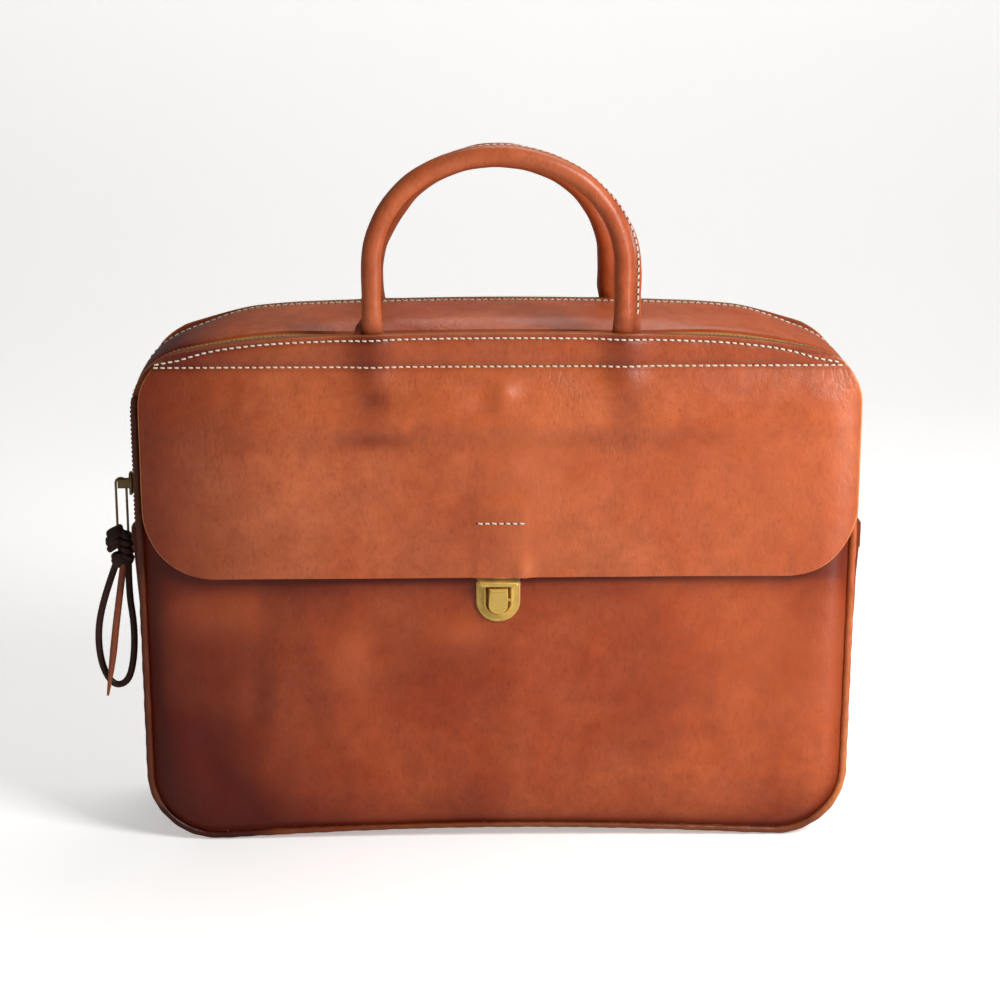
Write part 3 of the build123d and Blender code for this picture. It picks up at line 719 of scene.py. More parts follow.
# ---- front pocket -----------------------------------------------------------------------------
def inside_edge(shape, x, z, inset=0.0):
    """Distance from each grid point to the outline's sides and base."""
    points = shape["points"][shape["shoulder"]:] - shape["normals"][shape["shoulder"]:] * inset
    flat = np.stack([np.abs(x).ravel(), z.ravel()], axis=-1)
    gap = [np.min(np.hypot(points[:, 0] - u, points[:, 1] - v)) for u, v in flat]
    return np.array(gap).reshape(x.shape)


POCKET_HILLS = [                # above zero goes in, below zero stands out
    (-138.3, 92, 7, 38, 1.6, -0.1), (118.6, 76, 9, 34, 1.0, 0.15), (-58.5, 55, 9, 30, 1.1, 0.3),
    (-84, 118, 11, 18, -1.2, 0), (-20, 128, 16, 10, -1.2, 0),
]
# painted shade in the inward fold near the left
POCKET_FOLD_SHADE = [(-138.3, 92, 6, 36, 0.12, -0.1)]
# painted highlights: sheen on the upper left and on the two raised folds
POCKET_PAINTED_SHINE = [(-155, 142, 34, 16, 0.35, 0), (-84, 118, 12, 18, 0.6, 0), (-22, 130, 18, 10, 0.5, 0)]
POCKET_FRONT = -54.8            # no fold stands out further than this


def pocket_face(x, z, gap):
    y = -44.3 - 8.7 * (1 - np.exp(-(gap / 7.5) ** 1.35))
    folds = -(1.5 * field(x, z, 70, 21) + 0.7 * field(x * 1.5, z * 0.6, 33, 22)) + hills(x, z, POCKET_HILLS)
    wrinkles = 0.75 * field(x * 1.6 + z * 0.4, z * 0.55, 22, 24) + 0.35 * field(x, z, 12, 25)
    folds = folds - smooth((-x - 60) / 60) * wrinkles - 0.3 * field(x * 0.9, z * 1.3, 19, 26)
    return np.maximum(y + smooth(gap / 30) * folds, POCKET_FRONT)


x, z = sheet_rows(panel, top=POCKET_TOP, columns=181, inset=POCKET_INSET)
gap = inside_edge(panel, x, z, POCKET_INSET)
y = pocket_face(x, z, gap)
# painted shade: along the rolled edge, on the left side away from the key light, towards the bottom, in the fold
# and as the flap's shadow across the top; the random term adds darker patches of tone
shade = (0.55 * mound(gap, 5.0) + 0.85 * smooth((-x - 60) / 130) + 0.35 * np.clip(field(x, z, 48, 23), 0, 1)
         + 0.3 * smooth((60 - z) / 60) + hills(x, z, POCKET_FOLD_SHADE)
         + 0.3 * smooth((z - 146) / 14) + 0.6 * smooth((z - 157) / 7))
# painted highlights on the raised folds and a painted sheen over the lit right half
glow = hills(x, z, POCKET_PAINTED_SHINE) + 0.4 * smooth((x - 40) / 120) * mound(z - 110, 50)
pocket = Piece("pocket_leather_front", "bag", "leather", [POCKET, EDGE])
shell(pocket, x, y, settle(x, z), LEATHER * 0.85, -1, shade, glow)
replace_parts(pocket.build(), "pocket_panel")

# ---- piping: a bright welt round the sides and the base, with its seam pinched in ----------------
WELT_PINCH = 1.4                # how far the welt's middle lies inside the panel's edge
for end, side, top in (("front", -1, PIPING_TOP), ("back", 1, BACK_YOKE_BOTTOM - 1)):
    welt = Piece(f"{end}_welt", "bag", "leather", [WELT])
    angles = np.arange(14) * 2 * pi / 14
    middle = side * (abs(FRONT) + PIPING_RADIUS + 0.1)

    def welt_section(k, count, middle=middle, side=side):
        wobble = 1 + 0.05 * sin(k * 0.9) + 0.04 * sin(k * 0.37)
        return [(-WELT_PINCH + PIPING_RADIUS * wobble * cos(a),
                 middle + side * PIPING_RADIUS * wobble * sin(a) * 0.95) for a in angles]

    # painted shade: the welt darkens down the left side and towards the floor
    ribbon(welt, under_the_base(panel, top), welt_section,
           shade=lambda v: 0.85 * smooth((-v[0] - 120) / 60) + 0.7 * smooth((26 - v[2]) / 20), settled=True)
    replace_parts(welt.build(), f"{end}_piping")

# ---- panels, back yoke ----------------------------------------------------------------------------
x, z = sheet_rows(panel, columns=81)
front_sheet = Piece("front_panel_leather", "bag", "leather", [TAN, EDGE])
# painted shade: the front panel, behind the pocket and flap, is darkened throughout, with random variation of
# tone
shell(front_sheet, x, FRONT + 0.15 * field(x, z, 50, 31), settle(x, z), LEATHER, -1,
      0.4 + 0.2 * field(x, z, 60, 32))
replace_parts(front_sheet.build(), "front_panel")

x, z = sheet_rows(panel, columns=161)
gap = inside_edge(panel, x, z)
low = smooth((BACK_YOKE_BOTTOM - 8 - z) / 60) * smooth((gap - 4) / 50)
y = BACK + low * (2.2 + 1.6 * field(x, z, 75, 41) + 0.6 * field(x, z, 31, 42))
back_sheet = Piece("back_panel_leather", "bag", "leather", [POCKET, EDGE])
# painted shade along the rolled edges; random darker and paler patches of tone
shell(back_sheet, x, y, rise(x, y, settle(x, z)), LEATHER, 1,
      0.25 * mound(gap, 6) + 0.3 * np.clip(field(x, z, 48, 43), 0, 1),
      0.3 * np.clip(field(x, z, 60, 44), 0, 1))
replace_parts(back_sheet.build(), "back_panel")

BACK_YOKE_OUTER = BACK + YOKE_GAP + LEATHER


def back_yoke_face(x, z):
    y = BACK_YOKE_OUTER + leg_bulge(x, z) * 0.9 + 0.35 * field(x, z, 55, 45)
    y = y - 0.45 * mound(z - BACK_YOKE_BOTTOM - ROW_DROP, 1.6) - 0.45 * mound(z - crown(x) + ROW_DROP, 1.6)
    return y - 0.5 * mound(z - BACK_YOKE_BOTTOM, 8) * 0.6


x, z = sheet_rows(panel, columns=161)
rows = np.where(z[:, 0] > BACK_YOKE_BOTTOM)[0]
x, z = x[rows], z[rows]
z[-1] = BACK_YOKE_BOTTOM
back_yoke_sheet = Piece("back_yoke_leather", "bag", "leather", [TAN, EDGE])
back_y = back_yoke_face(x, z)
# painted shade round the handle-tab bulges and along the stitch-row grooves
shell(back_yoke_sheet, x, back_y, rise(x, back_y, z), LEATHER, 1,
      0.3 * mound(np.abs(x) - LEG_X, 12) * smooth((z - 240) / 30)
      + 0.3 * mound(z - BACK_YOKE_BOTTOM - ROW_DROP, 2) + 0.3 * mound(z - crown(x) + ROW_DROP, 2))
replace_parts(back_yoke_sheet.build(), "back_yoke")
for name, height, reach, seed in (
    ("back_yoke_arched_stitches", arched_row, 188, 5),
    ("back_yoke_straight_stitches", lambda v: BACK_YOKE_BOTTOM + ROW_DROP, 200, 6),
):
    line_x = np.linspace(-reach, reach, 260)
    line_z = np.array([height(v) for v in line_x])
    row = stitches(name)
    line_y = back_yoke_face(line_x, line_z)
    stitch_row(row, np.stack([line_x, line_y, rise(line_x, line_y, line_z)], axis=-1), (0, 1, 0), seed=seed)
    row.build()

# ---- gusset, top strip, facings, tapes and teeth -------------------------------------------------
GUSSET_DEPTH = abs(FRONT) - LEATHER
lower_line = under_the_base(lower_band, ZIP_END + 1.5)


def gusset_section(k, count):
    height = lower_line[0][k, 1]
    sag = 1.0 + 4.2 * smooth(height / 70) * smooth((ZIP_END + 12 - height) / 50) + 0.5 * sin(k * 0.11)
    return soft_strip(-GUSSET_DEPTH, GUSSET_DEPTH, 0.0, -LEATHER, -sag, 18, 0.2)


gusset = Piece("gusset_leather", "bag", "leather", [POCKET])
# painted shade: the gusset is darkened throughout, more at its seams and down the left side
ribbon(gusset, lower_line, gusset_section, settled=True,
       shade=lambda v: 0.35 + 0.25 * mound(abs(v[1]) - GUSSET_DEPTH, 6) + 0.5 * smooth((-v[0] - 100) / 80))
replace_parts(gusset.build(), "gusset_left", "gusset_right", "gusset_bottom")

zip_line = over_the_top(zip_band, ZIP_END)
STRIP_CROWN = 0.9
strip_section = soft_strip(STRIP_FRONT, STRIP_BACK, 0.0, -LEATHER, STRIP_CROWN, 22, 0.5)
strip = Piece("top_strip_leather", "bag", "leather", [TAN])
# painted shade: down the left side, towards the strip's lower ends, along its edges and under the handle legs
ribbon(strip, zip_line, strip_section,
       shade=lambda v: (1.2 * smooth((-v[0] - 140) / 60) + 0.45 * smooth((230 - v[2]) / 60)
                        + 0.18 * mound(abs(v[1] - 7.2) - 21, 4))
       + 0.2 * mound(abs(v[0]) - LEG_X, 30) * smooth((v[2] - 290) / 5))
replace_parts(strip.build(), "top_strip")
STRIP_MIDDLE, STRIP_REACH = (STRIP_FRONT + STRIP_BACK) / 2, (STRIP_BACK - STRIP_FRONT) / 2
STRIP_ROW = STRIP_BACK - 5.4    # the stitch row along the strip's back edge
proud = STRIP_CROWN * (1 - ((STRIP_ROW - STRIP_MIDDLE) / STRIP_REACH) ** 2) + 0.02
strip_points, strip_normals = zip_line
line = np.stack([strip_points[:, 0] + strip_normals[:, 0] * proud, np.full(len(strip_points), STRIP_ROW),
                 strip_points[:, 1] + strip_normals[:, 1] * proud], axis=-1)
line[:, 2] = rise(line[:, 0], line[:, 1], line[:, 2])


def strip_up(place):
    k = int(np.argmin(np.hypot(strip_points[:, 0] - place[0], strip_points[:, 1] - place[2])))
    return (strip_normals[k, 0], 0.15, strip_normals[k, 1])


row = stitches("top_strip_back_stitches")
stitch_row(row, line, strip_up, seed=7)
row.build()

FACING = 1.2
TAPE_INSET, TAPE, ROW_OUT = 2.5, 0.8, 2.9
for end, front in (("front", FRONT + LEATHER), ("rear", BACK - LEATHER - FACING)):
    back = front + FACING
    facing = Piece(f"{end}_facing_leather", "bag", "leather", [WELT])
    # painted shade: the facing, down in the zip groove, is darkened throughout
    ribbon(facing, zip_line, [(-9.0, front), (-2.5, front), (-2.15, front + 0.35), (-2.1, (front + back) / 2),
                              (-2.15, back - 0.35), (-2.5, back), (-9.0, back)], shade=lambda v: 0.6)
    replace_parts(facing.build(), f"{end}_zip_facing")
tapes = {
    "front_zip_tape_outer": (FRONT + LEATHER + FACING, FRONT_ZIP_Y - ROW_OUT),
    "front_zip_tape_inner": (FRONT_ZIP_Y + ROW_OUT, STRIP_FRONT + 4.0),
    "rear_zip_tape_inner": (STRIP_BACK - 4.0, REAR_ZIP_Y - ROW_OUT),
    "rear_zip_tape_outer": (REAR_ZIP_Y + ROW_OUT, BACK - LEATHER - FACING),
}
for name, (front, back) in tapes.items():
    tape = Piece(f"{name}_cloth", "bag", "zip_tape", [TAPE_CLOTH])
    ribbon(tape, zip_line, soft_strip(front, back, -TAPE_INSET, -TAPE_INSET - TAPE, 0.35, 8, 0.1))
    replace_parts(tape.build(), name)

TOOTH_PITCH = 2.6


def tooth_shape(across, length, height, chamfer):
    """A small tooth with chamfered edges, as three stacked rings."""
    def ring(a, b, h):
        return [(a * sx - (chamfer * sx if cut else 0), b * sy - (0 if cut else chamfer * sy), h)
                for sx, sy, cut in ((1, 1, 0), (1, 1, 1), (-1, 1, 1), (-1, 1, 0),
                                    (-1, -1, 0), (-1, -1, 1), (1, -1, 1), (1, -1, 0))]
    a, b, h = across / 2, length / 2, height / 2
    rings = [ring(a, b, -h), ring(a, b, h - chamfer), ring(a - chamfer, b - chamfer, h)]
    verts = np.array([v for r in rings for v in r])
    return verts, grid_faces(3, 8, wrap=True) + [tuple(range(8))[::-1], tuple(range(16, 24))]


tooth_verts, tooth_faces = tooth_shape(2.3, 1.55, 3.0, 0.32)
for name, row_y, shift in (
    ("front_zip_teeth_outer", FRONT_ZIP_Y - 1.75, 0.0), ("front_zip_teeth_inner", FRONT_ZIP_Y + 1.75, 0.5),
    ("rear_zip_teeth_inner", REAR_ZIP_Y - 1.75, 0.0), ("rear_zip_teeth_outer", REAR_ZIP_Y + 1.75, 0.5),
):
    teeth = Piece(f"{name}_row", "bag", "brass", [TOOTH])
    points, normals = zip_line
    line = np.stack([points[:, 0], np.full(len(points), row_y), points[:, 1]], axis=-1)
    line[:, 2] = rise(line[:, 0], line[:, 1], line[:, 2])
    places, ahead = along(line, TOOTH_PITCH)
    for place, direction in zip(places[:-1], ahead[:-1]):
        up = np.array([-direction[2], 0.0, direction[0]])
        up = up if np.dot(up, [place[0] * 0.001, 0, 1 if abs(place[0]) < GUSSET_HALF - 4 else 0.01]) > 0 else -up
        centre = place + direction * shift * TOOTH_PITCH - up * 1.75
        verts = (centre + np.outer(tooth_verts[:, 0], [0, 1, 0]) + np.outer(tooth_verts[:, 1], direction)
                 + np.outer(tooth_verts[:, 2], up))
        teeth.add(verts, tooth_faces)
    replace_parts(teeth.build(), name)

# ---- handles: leather rolled round a cord, with a stitched fin along the outside -------------------
LEG_END = 288.0


def handle_line(step=2.5):
    """The handle's centreline in its own plane, from the left leg's end to the right one's."""
    points, normals, heading = [np.array([0.0, HANDLE_TOP])], [np.array([0.0, 1.0])], 0.0
    for radius, turn in ((ARCH_RADIUS, ARCH_TURN), (SIDE_RADIUS, 90 - ARCH_TURN)):
        centre = points[-1] - radius * np.array([sin(radians(heading)), cos(radians(heading))])
        count = int(radius * radians(turn) / step)
        for k in range(1, count + 1):
            a = radians(heading + turn * k / count)
            points.append(centre + radius * np.array([sin(a), cos(a)]))
            normals.append(np.array([sin(a), cos(a)]))
        heading += turn
    count = int((points[-1][1] - LEG_END) / step)
    for height in np.linspace(points[-1][1], LEG_END, count + 1)[1:]:
        points.append(np.array([points[-1][0], height]))
        normals.append(np.array([1.0, 0.0]))
    return mirrored(np.array(points), np.array(normals))


def roll_section(radius, fin):
    """Roll and fin in one closed outline: the roll's circle, opening into a fin with a rounded tip."""
    root = np.arcsin(FIN_HALF / radius)
    circle = [(radius * cos(a), radius * sin(a)) for a in np.linspace(root + 0.32, 2 * pi - root - 0.32, 22)]
    tip = fin - 0.7
    return ([(radius * cos(root) + 0.1, -FIN_HALF - 0.15), (tip, -FIN_HALF), (fin - 0.15, -0.8), (fin, 0.0),
             (fin - 0.15, 0.8), (tip, FIN_HALF), (radius * cos(root) + 0.1, FIN_HALF + 0.15)] + circle)


def stand(points, side):
    """Puts points given in the handle's plane where the handle stands; the back one leans."""
    points = np.array(points, float)
    if side < 0:
        points[..., 1] -= HANDLE_Y
        return points
    free = smooth((points[..., 2] - LEG_Z + 12) / 20)
    high = smooth((points[..., 2] - 325) / 45)
    points[..., 0] = points[..., 0] * (1 - 0.025 * free - 0.08 * high) - 2.6 * free * (1 - high)
    lean = radians(BACK_HANDLE_LEAN) * smooth((points[..., 2] - LEG_Z + 6) / 14)
    y, up = points[..., 1].copy(), points[..., 2] - LEG_Z
    points[..., 1] = HANDLE_Y + y * np.cos(lean) - up * np.sin(lean)
    points[..., 2] = LEG_Z + y * np.sin(lean) + up * np.cos(lean)
    return points


line_points, line_normals = handle_line()
section = np.array(roll_section(HANDLE_RADIUS, FIN_OUT))
FIN_TURN = radians(62)          # at the top of the handle the fin leans back this far


def fin_turn(point):
    """How far the fin is laid back: over the top, and all the way down the left leg."""
    if point[0] > 0:
        return FIN_TURN * smooth((point[1] - 326) / 62)
    return (FIN_TURN + 0.3 * smooth(-point[0] / 50)) * smooth((point[1] - LEG_Z + 8) / 14)


for end, side in (("front", -1), ("back", 1)):
    rows, tones = [], []
    for k, (point, normal) in enumerate(zip(line_points, line_normals)):
        flat = float(smooth((LEG_Z + 5 - point[1]) / 13))
        deeper = float(smooth((LEG_Z - 5 - point[1]) / 12))
        turn = fin_turn(point)
        out = section[:, 0] * cos(turn) + section[:, 1] * sin(turn)
        deep = -section[:, 1] * cos(turn) + section[:, 0] * sin(turn)
        wide = np.where(section[:, 0] > 0, 1.0 + 0.05 * flat, 1.0 + 0.2 * flat)
        thin = 1 - 0.5 * flat - 0.3 * deeper
        wobble = 1 + 0.012 * sin(k * 0.8) + 0.012 * sin(k * 0.31 + 1)
        ring = np.stack([point[0] + normal[0] * out * wide * wobble, deep * thin * wobble,
                         point[1] + normal[1] * out * wide * wobble], axis=-1)
        ring[:, 1] += (YOKE_GAP / 2 + abs(FRONT) - HANDLE_Y) * side * flat
        rows.append(ring)
        # painted shade: slightly throughout, in the crease where the fin leaves the roll, on the fin (heavily
        # down the left leg) and on the flattened leg ends
        tones.append(0.12 + 0.25 * mound(section[:, 0] - 4.9, 1.4) + 0.35 * (section[:, 0] > 6)
                     * (0.9 if point[0] < 0 else 0.2) + 0.3 * flat)
    verts = stand(np.array(rows), side)
    count, sides = verts.shape[:2]
    wrap = Piece(f"{end}_handle_leather", f"{end}_handle", "leather", [TAN])
    caps = [tuple(range(sides))[::-1], tuple((count - 1) * sides + i for i in range(sides))]
    wrap.add(verts, grid_faces(count, sides, wrap=True) + caps, 0, np.array(tones))
    made = wrap.build(ride=False)
    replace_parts(made, f"{end}_handle_wrap")
    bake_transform(made)
    core = Piece(f"{end}_handle_cord", f"{end}_handle", "core_cord", [CORE])
    inside = line_points[:, 1] > LEG_Z + 10
    around = np.linspace(0, 2 * pi, 12, endpoint=False)
    rings = stand([[[p[0] + n[0] * CORE_RADIUS * cos(a), CORE_RADIUS * sin(a), p[1] + n[1] * CORE_RADIUS * cos(a)]
                    for a in around] for p, n in zip(line_points[inside], line_normals[inside])], side)
    last = (len(rings) - 1) * 12
    core.add(rings, grid_faces(len(rings), 12, wrap=True)
             + [tuple(range(12))[::-1], tuple(range(last, last + 12))])
    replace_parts(core.build(), f"{end}_handle_core")
    row = stitches(f"{end}_handle_stitches", f"{end}_handle")
    held = line_points[:, 1] > LEG_Z + 2
    for face in (-1, 1):
        line, facing_out = [], []
        for point, normal in zip(line_points[held], line_normals[held]):
            turn = fin_turn(point)
            along_fin, off_fin = 7.6, face * (FIN_HALF + 0.03)
            out = along_fin * cos(turn) - off_fin * sin(turn)
            line.append([point[0] + normal[0] * out, off_fin * cos(turn) + along_fin * sin(turn),
                         point[1] + normal[1] * out])
            facing_out.append([-normal[0] * face * sin(turn), face * cos(turn), -normal[1] * face * sin(turn)])
        line = stand(line, side)
        lean = radians(BACK_HANDLE_LEAN) if side > 0 else 0.0
        tilt = np.array([[1, 0, 0], [0, cos(lean), -sin(lean)], [0, sin(lean), cos(lean)]])
        facing_out = np.array(facing_out) @ tilt.T

        def fin_out(place, line=line, facing_out=facing_out):
            return facing_out[int(np.argmin(np.linalg.norm(line - place, axis=1)))]

        stitch_row(row, line, fin_out, seed=11 + face)
    row.build()


# ---- tabs: short leather tongues sewn behind the flap and under the yokes ---------------------------
def tongue(piece, middle, half, top, bottom, radius, y, thickness, facing):
    """A leather tongue with round lower corners."""
    heights = np.concatenate([np.linspace(top, bottom + radius, 16)[:-1],
                              [bottom + radius * (1 - sin(a)) for a in np.linspace(0, pi / 2, 7)]])
    reach = [half if h >= bottom + radius else half - radius
             + (max(radius ** 2 - (bottom + radius - h) ** 2, 0)) ** 0.5 for h in heights]
    x = middle + np.array(reach)[:, None] * np.linspace(-1, 1, 15)[None]
    z = np.repeat(heights[:, None], 15, axis=1)
    # painted shade: the tongues, behind the flap and under the yokes, are darkened throughout
    shell(piece, x, np.full(x.shape, y) + 0.05 * field(x, z, 6, 51), z, thickness, facing,
          np.full(x.shape, 0.3), roundness=0.3)


tab = Piece("lock_tab_leather", "flap", "leather", [POCKET, EDGE])
tongue(tab, 0, 15, FLAP_BOTTOM + 44, FLAP_BOTTOM + 0.5, 3, -54.2, 1.4, 1)
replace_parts(tab.build(), "lock_tab")
for end, side in (("front", -1), ("back", 1)):
    tabs = Piece(f"{end}_handle_tab_leather", "bag", "leather", [TAN, EDGE])
    for middle in (-LEG_X, LEG_X):
        tongue(tabs, middle, 11, PANEL_TOP - 3, LEG_Z - 66, 6, side * (abs(FRONT) + YOKE_GAP), YOKE_GAP, side)
    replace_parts(tabs.build(), f"{end}_handle_tabs")

# ---- press lock ------------------------------------------------------------------------------------
def plate_outline(half, bottom, top, radius, steps=10):
    """A shield: straight top, round lower corners."""
    right = [(half, top)] + [(half - radius + radius * cos(a), bottom + radius - radius * sin(a))
                             for a in np.linspace(0, pi / 2, steps)]
    return right + [(-x, z) for x, z in right[::-1]]


def prism(name, body, polygon, front, back, bevel, material, segments=3):
    """An extruded outline, front to back, with its front edges rounded over."""
    made = bmesh.new()
    near = [made.verts.new((x * M, front * M, z * M)) for x, z in polygon]
    far = [made.verts.new((x * M, back * M, z * M)) for x, z in polygon]
    face = made.faces.new(near)
    made.faces.new(far[::-1])
    for k in range(len(polygon)):
        n = (k + 1) % len(polygon)
        made.faces.new((near[k], far[k], far[n], near[n]))
    bmesh.ops.bevel(made, geom=list(face.edges), offset=bevel * M, segments=segments,
                    profile=0.5, affect="EDGES")
    bmesh.ops.recalc_face_normals(made, faces=made.faces)
    mesh = bpy.data.meshes.new(name)
    made.to_mesh(mesh)
    made.free()
    mesh.materials.append(material)
    mesh.shade_smooth()
    mesh.set_sharp_from_angle(angle=radians(30))
    piece = bpy.data.objects.new(name, mesh)
    bpy.context.collection.objects.link(piece)
    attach(piece, body)
    return piece


LOCK_HALF = 12.6


def shield_line(half, bottom, top, steps=22):
    """A U: down one side, round the bottom in a half circle, and up the other side."""
    points = [(half, top)] + [(half * cos(a), bottom + half - half * sin(a)) for a in np.linspace(0, pi, steps)]
    points.append((-half, top))
    normals = [(1, 0)] + [(cos(a), -sin(a)) for a in np.linspace(0, pi, steps)] + [(-1, 0)]
    return np.array(points), np.array(normals, float)


def lift(ring):
    """A section given as (outward, height above the pocket leather), in the piece's own axes."""
    return [(out, POCKET_OUTER - height) for out, height in ring]


rim_line = shield_line(LOCK_HALF, LOCK_BOTTOM, LOCK_TOP - 3.2)
dish = Piece("lock_plate_brass", "bag", "brass", [BRASS])
ribbon(dish, rim_line, lift([(-0.2, -0.4), (0, 0.5), (-0.25, 1.0), (-0.8, 1.25), (-2.4, 1.35), (-4.2, 1.7),
                             (-4.6, 1.2), (-4.6, -0.4)]))
floor_plate = plate_outline(LOCK_HALF - 4.2, LOCK_BOTTOM + 4.4, LOCK_TOP - 3.4, LOCK_HALF - 4.3)
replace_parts(dish.build(48), "lock_plate")
# painted shade: the dish floor round the button is dark brass
prism("lock_plate_floor", "bag", [p for p in floor_plate if abs(p[0]) > 5.9 or p[1] < BUTTON_BOTTOM - 0.3],
      POCKET_OUTER - 0.5, POCKET_OUTER + 0.4, 0.1, DARK_BRASS, 1)
ridge_line = shield_line(LOCK_HALF - 4.5, LOCK_BOTTOM + 4.0, LOCK_TOP - 3.6)
ridge = Piece("lock_bezel_brass", "bag", "brass", [BRASS])
ridge_section = [(0.35, 0.4), (0.35, 2.4), (0.1, 3.1), (-0.35, 3.4), (-0.8, 3.2), (-1.05, 2.6), (-1.05, 0.4)]
ribbon(ridge, ridge_line, lift(ridge_section))
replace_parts(ridge.build(60), "lock_bezel")
button = plate_outline(5.45, BUTTON_BOTTOM, BUTTON_TOP, 5.2, 20)
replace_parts(prism("lock_button_brass", "lock_button", button, -58.0, -50.3, 0.9, BRASS, 4), "lock_button")
lip = [(4.6, BUTTON_TOP - 1.9), (4.6, BUTTON_TOP - 1.3), (-4.6, BUTTON_TOP - 1.3), (-4.6, BUTTON_TOP - 1.9)]
prism("lock_button_lip", "lock_button", lip, -58.3, -57.4, 0.15, BRASS, 2)
lug = plate_outline(0.9, 148.6, 150.4, 0.8, 6)
prism("lock_lug", "bag", [(x + 6.5, z) for x, z in lug], POCKET_OUTER - 2.8, POCKET_OUTER, 0.3, BRASS, 2)
bar = plate_outline(11.0, BUTTON_TOP + 1.6, BUTTON_TOP + 4.2, 1.2, 6)
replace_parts(prism("hasp_brass", "flap", bar, -59.4, -53.4, 1.15, BRASS, 5), "hasp")
ears = [(12.2, 160.6), (12.2, 163.3), (-12.2, 163.3), (-12.2, 160.6)]
# painted shade: the hasp ears sit in the dark slot behind the bar, in dark brass
prism("hasp_ears", "flap", ears, -56.6, -53.6, 0.6, DARK_BRASS, 3)

# ---- thong pulls: a knot on the ring, a hanging loop and a pointed tail -------------------------------
LOOP_ROUTE = [
    (-219.5, -27.0, 165.0), (-226.5, -27.6, 147.0), (-232.0, -28.2, 125.0), (-231.0, -28.4, 104.0),
    (-224.5, -28.0, 90.0), (-215.5, -27.6, 92.0), (-211.6, -27.0, 107.0), (-210.8, -26.8, 127.0),
    (-213.2, -26.8, 147.0), (-212.6, -27.0, 165.0),
]
TAIL_ROUTE = [
    (-215.0, -31.0, 165.0), (-217.4, -33.8, 148.0), (-220.6, -34.6, 127.0), (-223.4, -34.2, 106.0),
    (-227.0, -33.4, 86.0),
]


REAR_LOOP_ROUTE = [
    (213.0, 30.5, 165.0), (213.4, 26.5, 147.0), (213.8, 23.5, 125.0), (213.8, 24.5, 104.0),
    (213.6, 30.0, 91.0), (213.4, 38.0, 91.5), (213.2, 42.5, 105.0), (213.2, 43.0, 126.0),
    (213.2, 40.5, 147.0), (213.0, 37.5, 165.0),
]
REAR_TAIL_ROUTE = [
    (216.0, 34.0, 165.0), (217.8, 35.0, 148.0), (218.2, 36.5, 127.0), (218.0, 38.0, 106.0),
    (217.6, 40.0, 86.0),
]


def strand(name, route, body, material, tip=1.0):
    """A leather thong as a smooth curve through the route."""
    data = bpy.data.curves.new(name, "CURVE")
    data.dimensions = "3D"
    data.bevel_depth = THONG / 2 * M
    data.bevel_resolution = 4
    data.resolution_u = 10
    data.use_fill_caps = True
    spline = data.splines.new("NURBS")
    spline.points.add(len(route) - 1)
    for k, (point, place) in enumerate(zip(spline.points, route)):
        point.co = (*[v * M for v in place], 1)
        point.radius = 1.0 + 0.03 * k if tip < 1 and k < len(route) - 1 else tip
    spline.order_u = 3
    spline.use_endpoint_u = True
    data.materials.append(material)
    made = bpy.data.objects.new(name, data)
    bpy.context.collection.objects.link(made)
    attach(made, body)
    return made


def wrapped_knot(piece, centre, size, turns, tilt, seed):
    """A lump of thong wound round itself: a few tilted, flattened coils that press together."""
    chance = np.random.RandomState(seed)
    for turn in range(turns):
        t = (turn + 0.5) / turns - 0.5
        swell = 1 - 1.1 * t * t
        lean = tilt + chance.uniform(-0.25, 0.25)
        angle = np.linspace(0, 2 * pi, 22, endpoint=False)
        loop_x = size[0] * swell * np.cos(angle)
        loop_y = size[1] * swell * np.sin(angle)
        loop_z = size[2] * t * 2 + lean * loop_x
        ring = np.stack([loop_x, loop_y, loop_z], axis=-1) + centre
        ahead = np.roll(ring, -1, axis=0) - np.roll(ring, 1, axis=0)
        verts = []
        for place, direction in zip(ring, ahead):
            direction = direction / np.linalg.norm(direction)
            out = place - centre
            out = out - direction * np.dot(out, direction)
            out[2] *= 0.2
            out /= np.linalg.norm(out)
            up = np.cross(direction, out)
            verts.append([place + out * 1.5 * cos(a) + up * 2.0 * sin(a) for a in np.arange(8) * pi / 4])
        piece.add(np.array(verts), grid_faces(22, 8, wrap=True, close=True), 0, np.full(22 * 8, 0.15 * turn))


PULLS = {
    "front": {
        "loop": LOOP_ROUTE, "loop_length": 0.1583, "tail": TAIL_ROUTE, "tail_length": 0.0801,
        "knots": [((-219.8, -27.0, 179.5), (4.2, 3.6, 6.0), 0.5), ((-212.8, -28.8, 175.5), (3.0, 3.8, 8.4), -0.3),
                  ((-215.8, -28.4, 167.4), (5.2, 3.6, 3.4), 0.1)],
    },
    "rear": {
        "loop": REAR_LOOP_ROUTE, "loop_length": 0.1563, "tail": REAR_TAIL_ROUTE, "tail_length": 0.0793,
        "knots": [((214.4, 30.4, 178.5), (2.6, 3.0, 6.0), 0.4), ((214.4, 37.8, 176.5), (2.6, 3.0, 7.4), -0.3),
                  ((214.0, 34.0, 167.4), (2.6, 5.0, 3.0), 0.1)],
    },
}
for end, pull in PULLS.items():
    body = f"{end}_pull"
    knot = Piece(f"{end}_knot", body, "thong_leather", [DARK])
    for (centre, size, tilt), seed in zip(pull["knots"], (61, 62, 63)):
        wrapped_knot(knot, np.array(centre), size, 4, tilt, seed)
    knot_object = knot.build()
    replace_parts(knot_object, f"{end}_thong_knot")
    loop = strand(f"{end}_loop", pull["loop"], body, DARK)
    tail = strand(f"{end}_tail", pull["tail"], body, STRAP, 0.35)
    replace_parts(loop, f"{end}_thong_loop")
    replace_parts(tail, f"{end}_thong_tail")


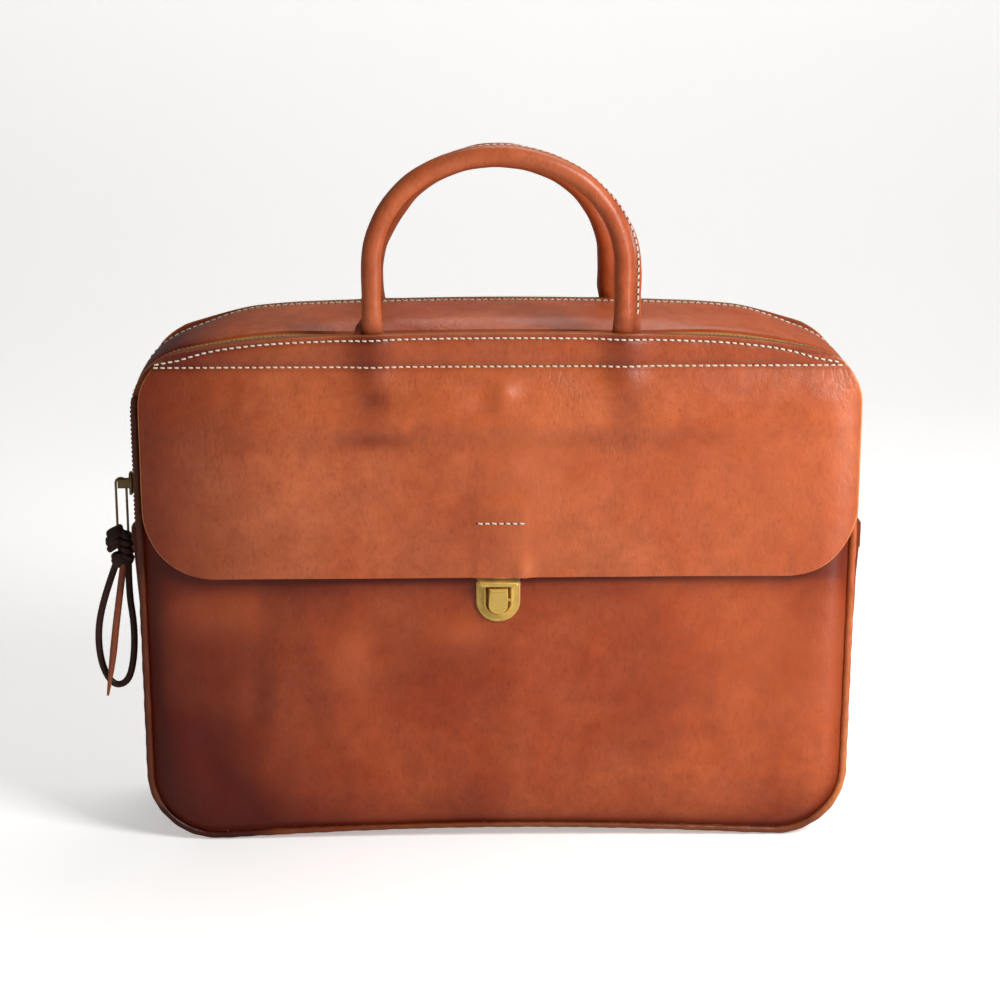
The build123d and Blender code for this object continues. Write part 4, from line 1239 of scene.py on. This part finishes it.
# ---- floor and light -----------------------------------------------------------------------------------
SWEEP_BACK, SWEEP_RADIUS, SWEEP_TOP, SWEEP_HALF = 1.1, 0.5, 3.2, 4.0
sweep = [(-4.0, 0.0), (SWEEP_BACK, 0.0)]
sweep += [(SWEEP_BACK + SWEEP_RADIUS * sin(a), SWEEP_RADIUS * (1 - cos(a)))
          for a in np.linspace(0.1, pi / 2, 14)]
sweep.append((SWEEP_BACK + SWEEP_RADIUS, SWEEP_TOP))
floor_mesh = bpy.data.meshes.new("floor")
floor_mesh.from_pydata([(side * SWEEP_HALF, y, z) for y, z in sweep for side in (-1, 1)], [],
                       [(2 * k, 2 * k + 1, 2 * k + 3, 2 * k + 2) for k in range(len(sweep) - 1)])
floor_mesh.shade_smooth()
floor = bpy.data.objects.new("floor", floor_mesh)
floor_look = Nodes("pale_floor", (0.86, 0.855, 0.845), 0.75, specular=0.2)
floor_look.shader.inputs["Emission Color"].default_value = (1, 1, 1, 1)
floor_look.shader.inputs["Emission Strength"].default_value = 0.38
floor_mesh.materials.append(floor_look.finish(
    floor_look.mixed(floor_look.noise(3, 3), (0.84, 0.835, 0.825), (0.89, 0.885, 0.875))))
bpy.context.collection.objects.link(floor)
floor.visible_glossy = False


def softbox(name, place, aim, size, watts, colour=(1, 1, 1)):
    data = bpy.data.lights.new(name, "AREA")
    data.shape = "RECTANGLE"
    data.size, data.size_y = size
    data.energy = watts
    data.color = colour
    light = bpy.data.objects.new(name, data)
    light.location = place
    light.rotation_euler = (Vector(aim) - Vector(place)).to_track_quat("-Z", "Y").to_euler()
    bpy.context.collection.objects.link(light)


softbox("key", (0.78, -0.72, 0.88), (0.08, 0, 0.2), (0.42, 0.42), 14.5, (1.0, 0.985, 0.965))
softbox("side", (0.8, -0.5, 0.3), (0.17, -0.02, 0.25), (0.2, 0.6), 3)
softbox("top", (0.25, 0.35, 1.2), (0, 0, 0.28), (0.9, 0.5), 4.5)
softbox("fill", (-1.3, -1.5, 0.8), (0, 0, 0.2), (1.2, 1.2), 0.6)
world = bpy.data.worlds.new("world")
bpy.context.scene.world = world
world.use_nodes = True
world.node_tree.nodes["Background"].inputs["Color"].default_value = (1, 1, 1, 1)
world.node_tree.nodes["Background"].inputs["Strength"].default_value = 0.12
bpy.context.scene.view_settings.view_transform = "Standard"
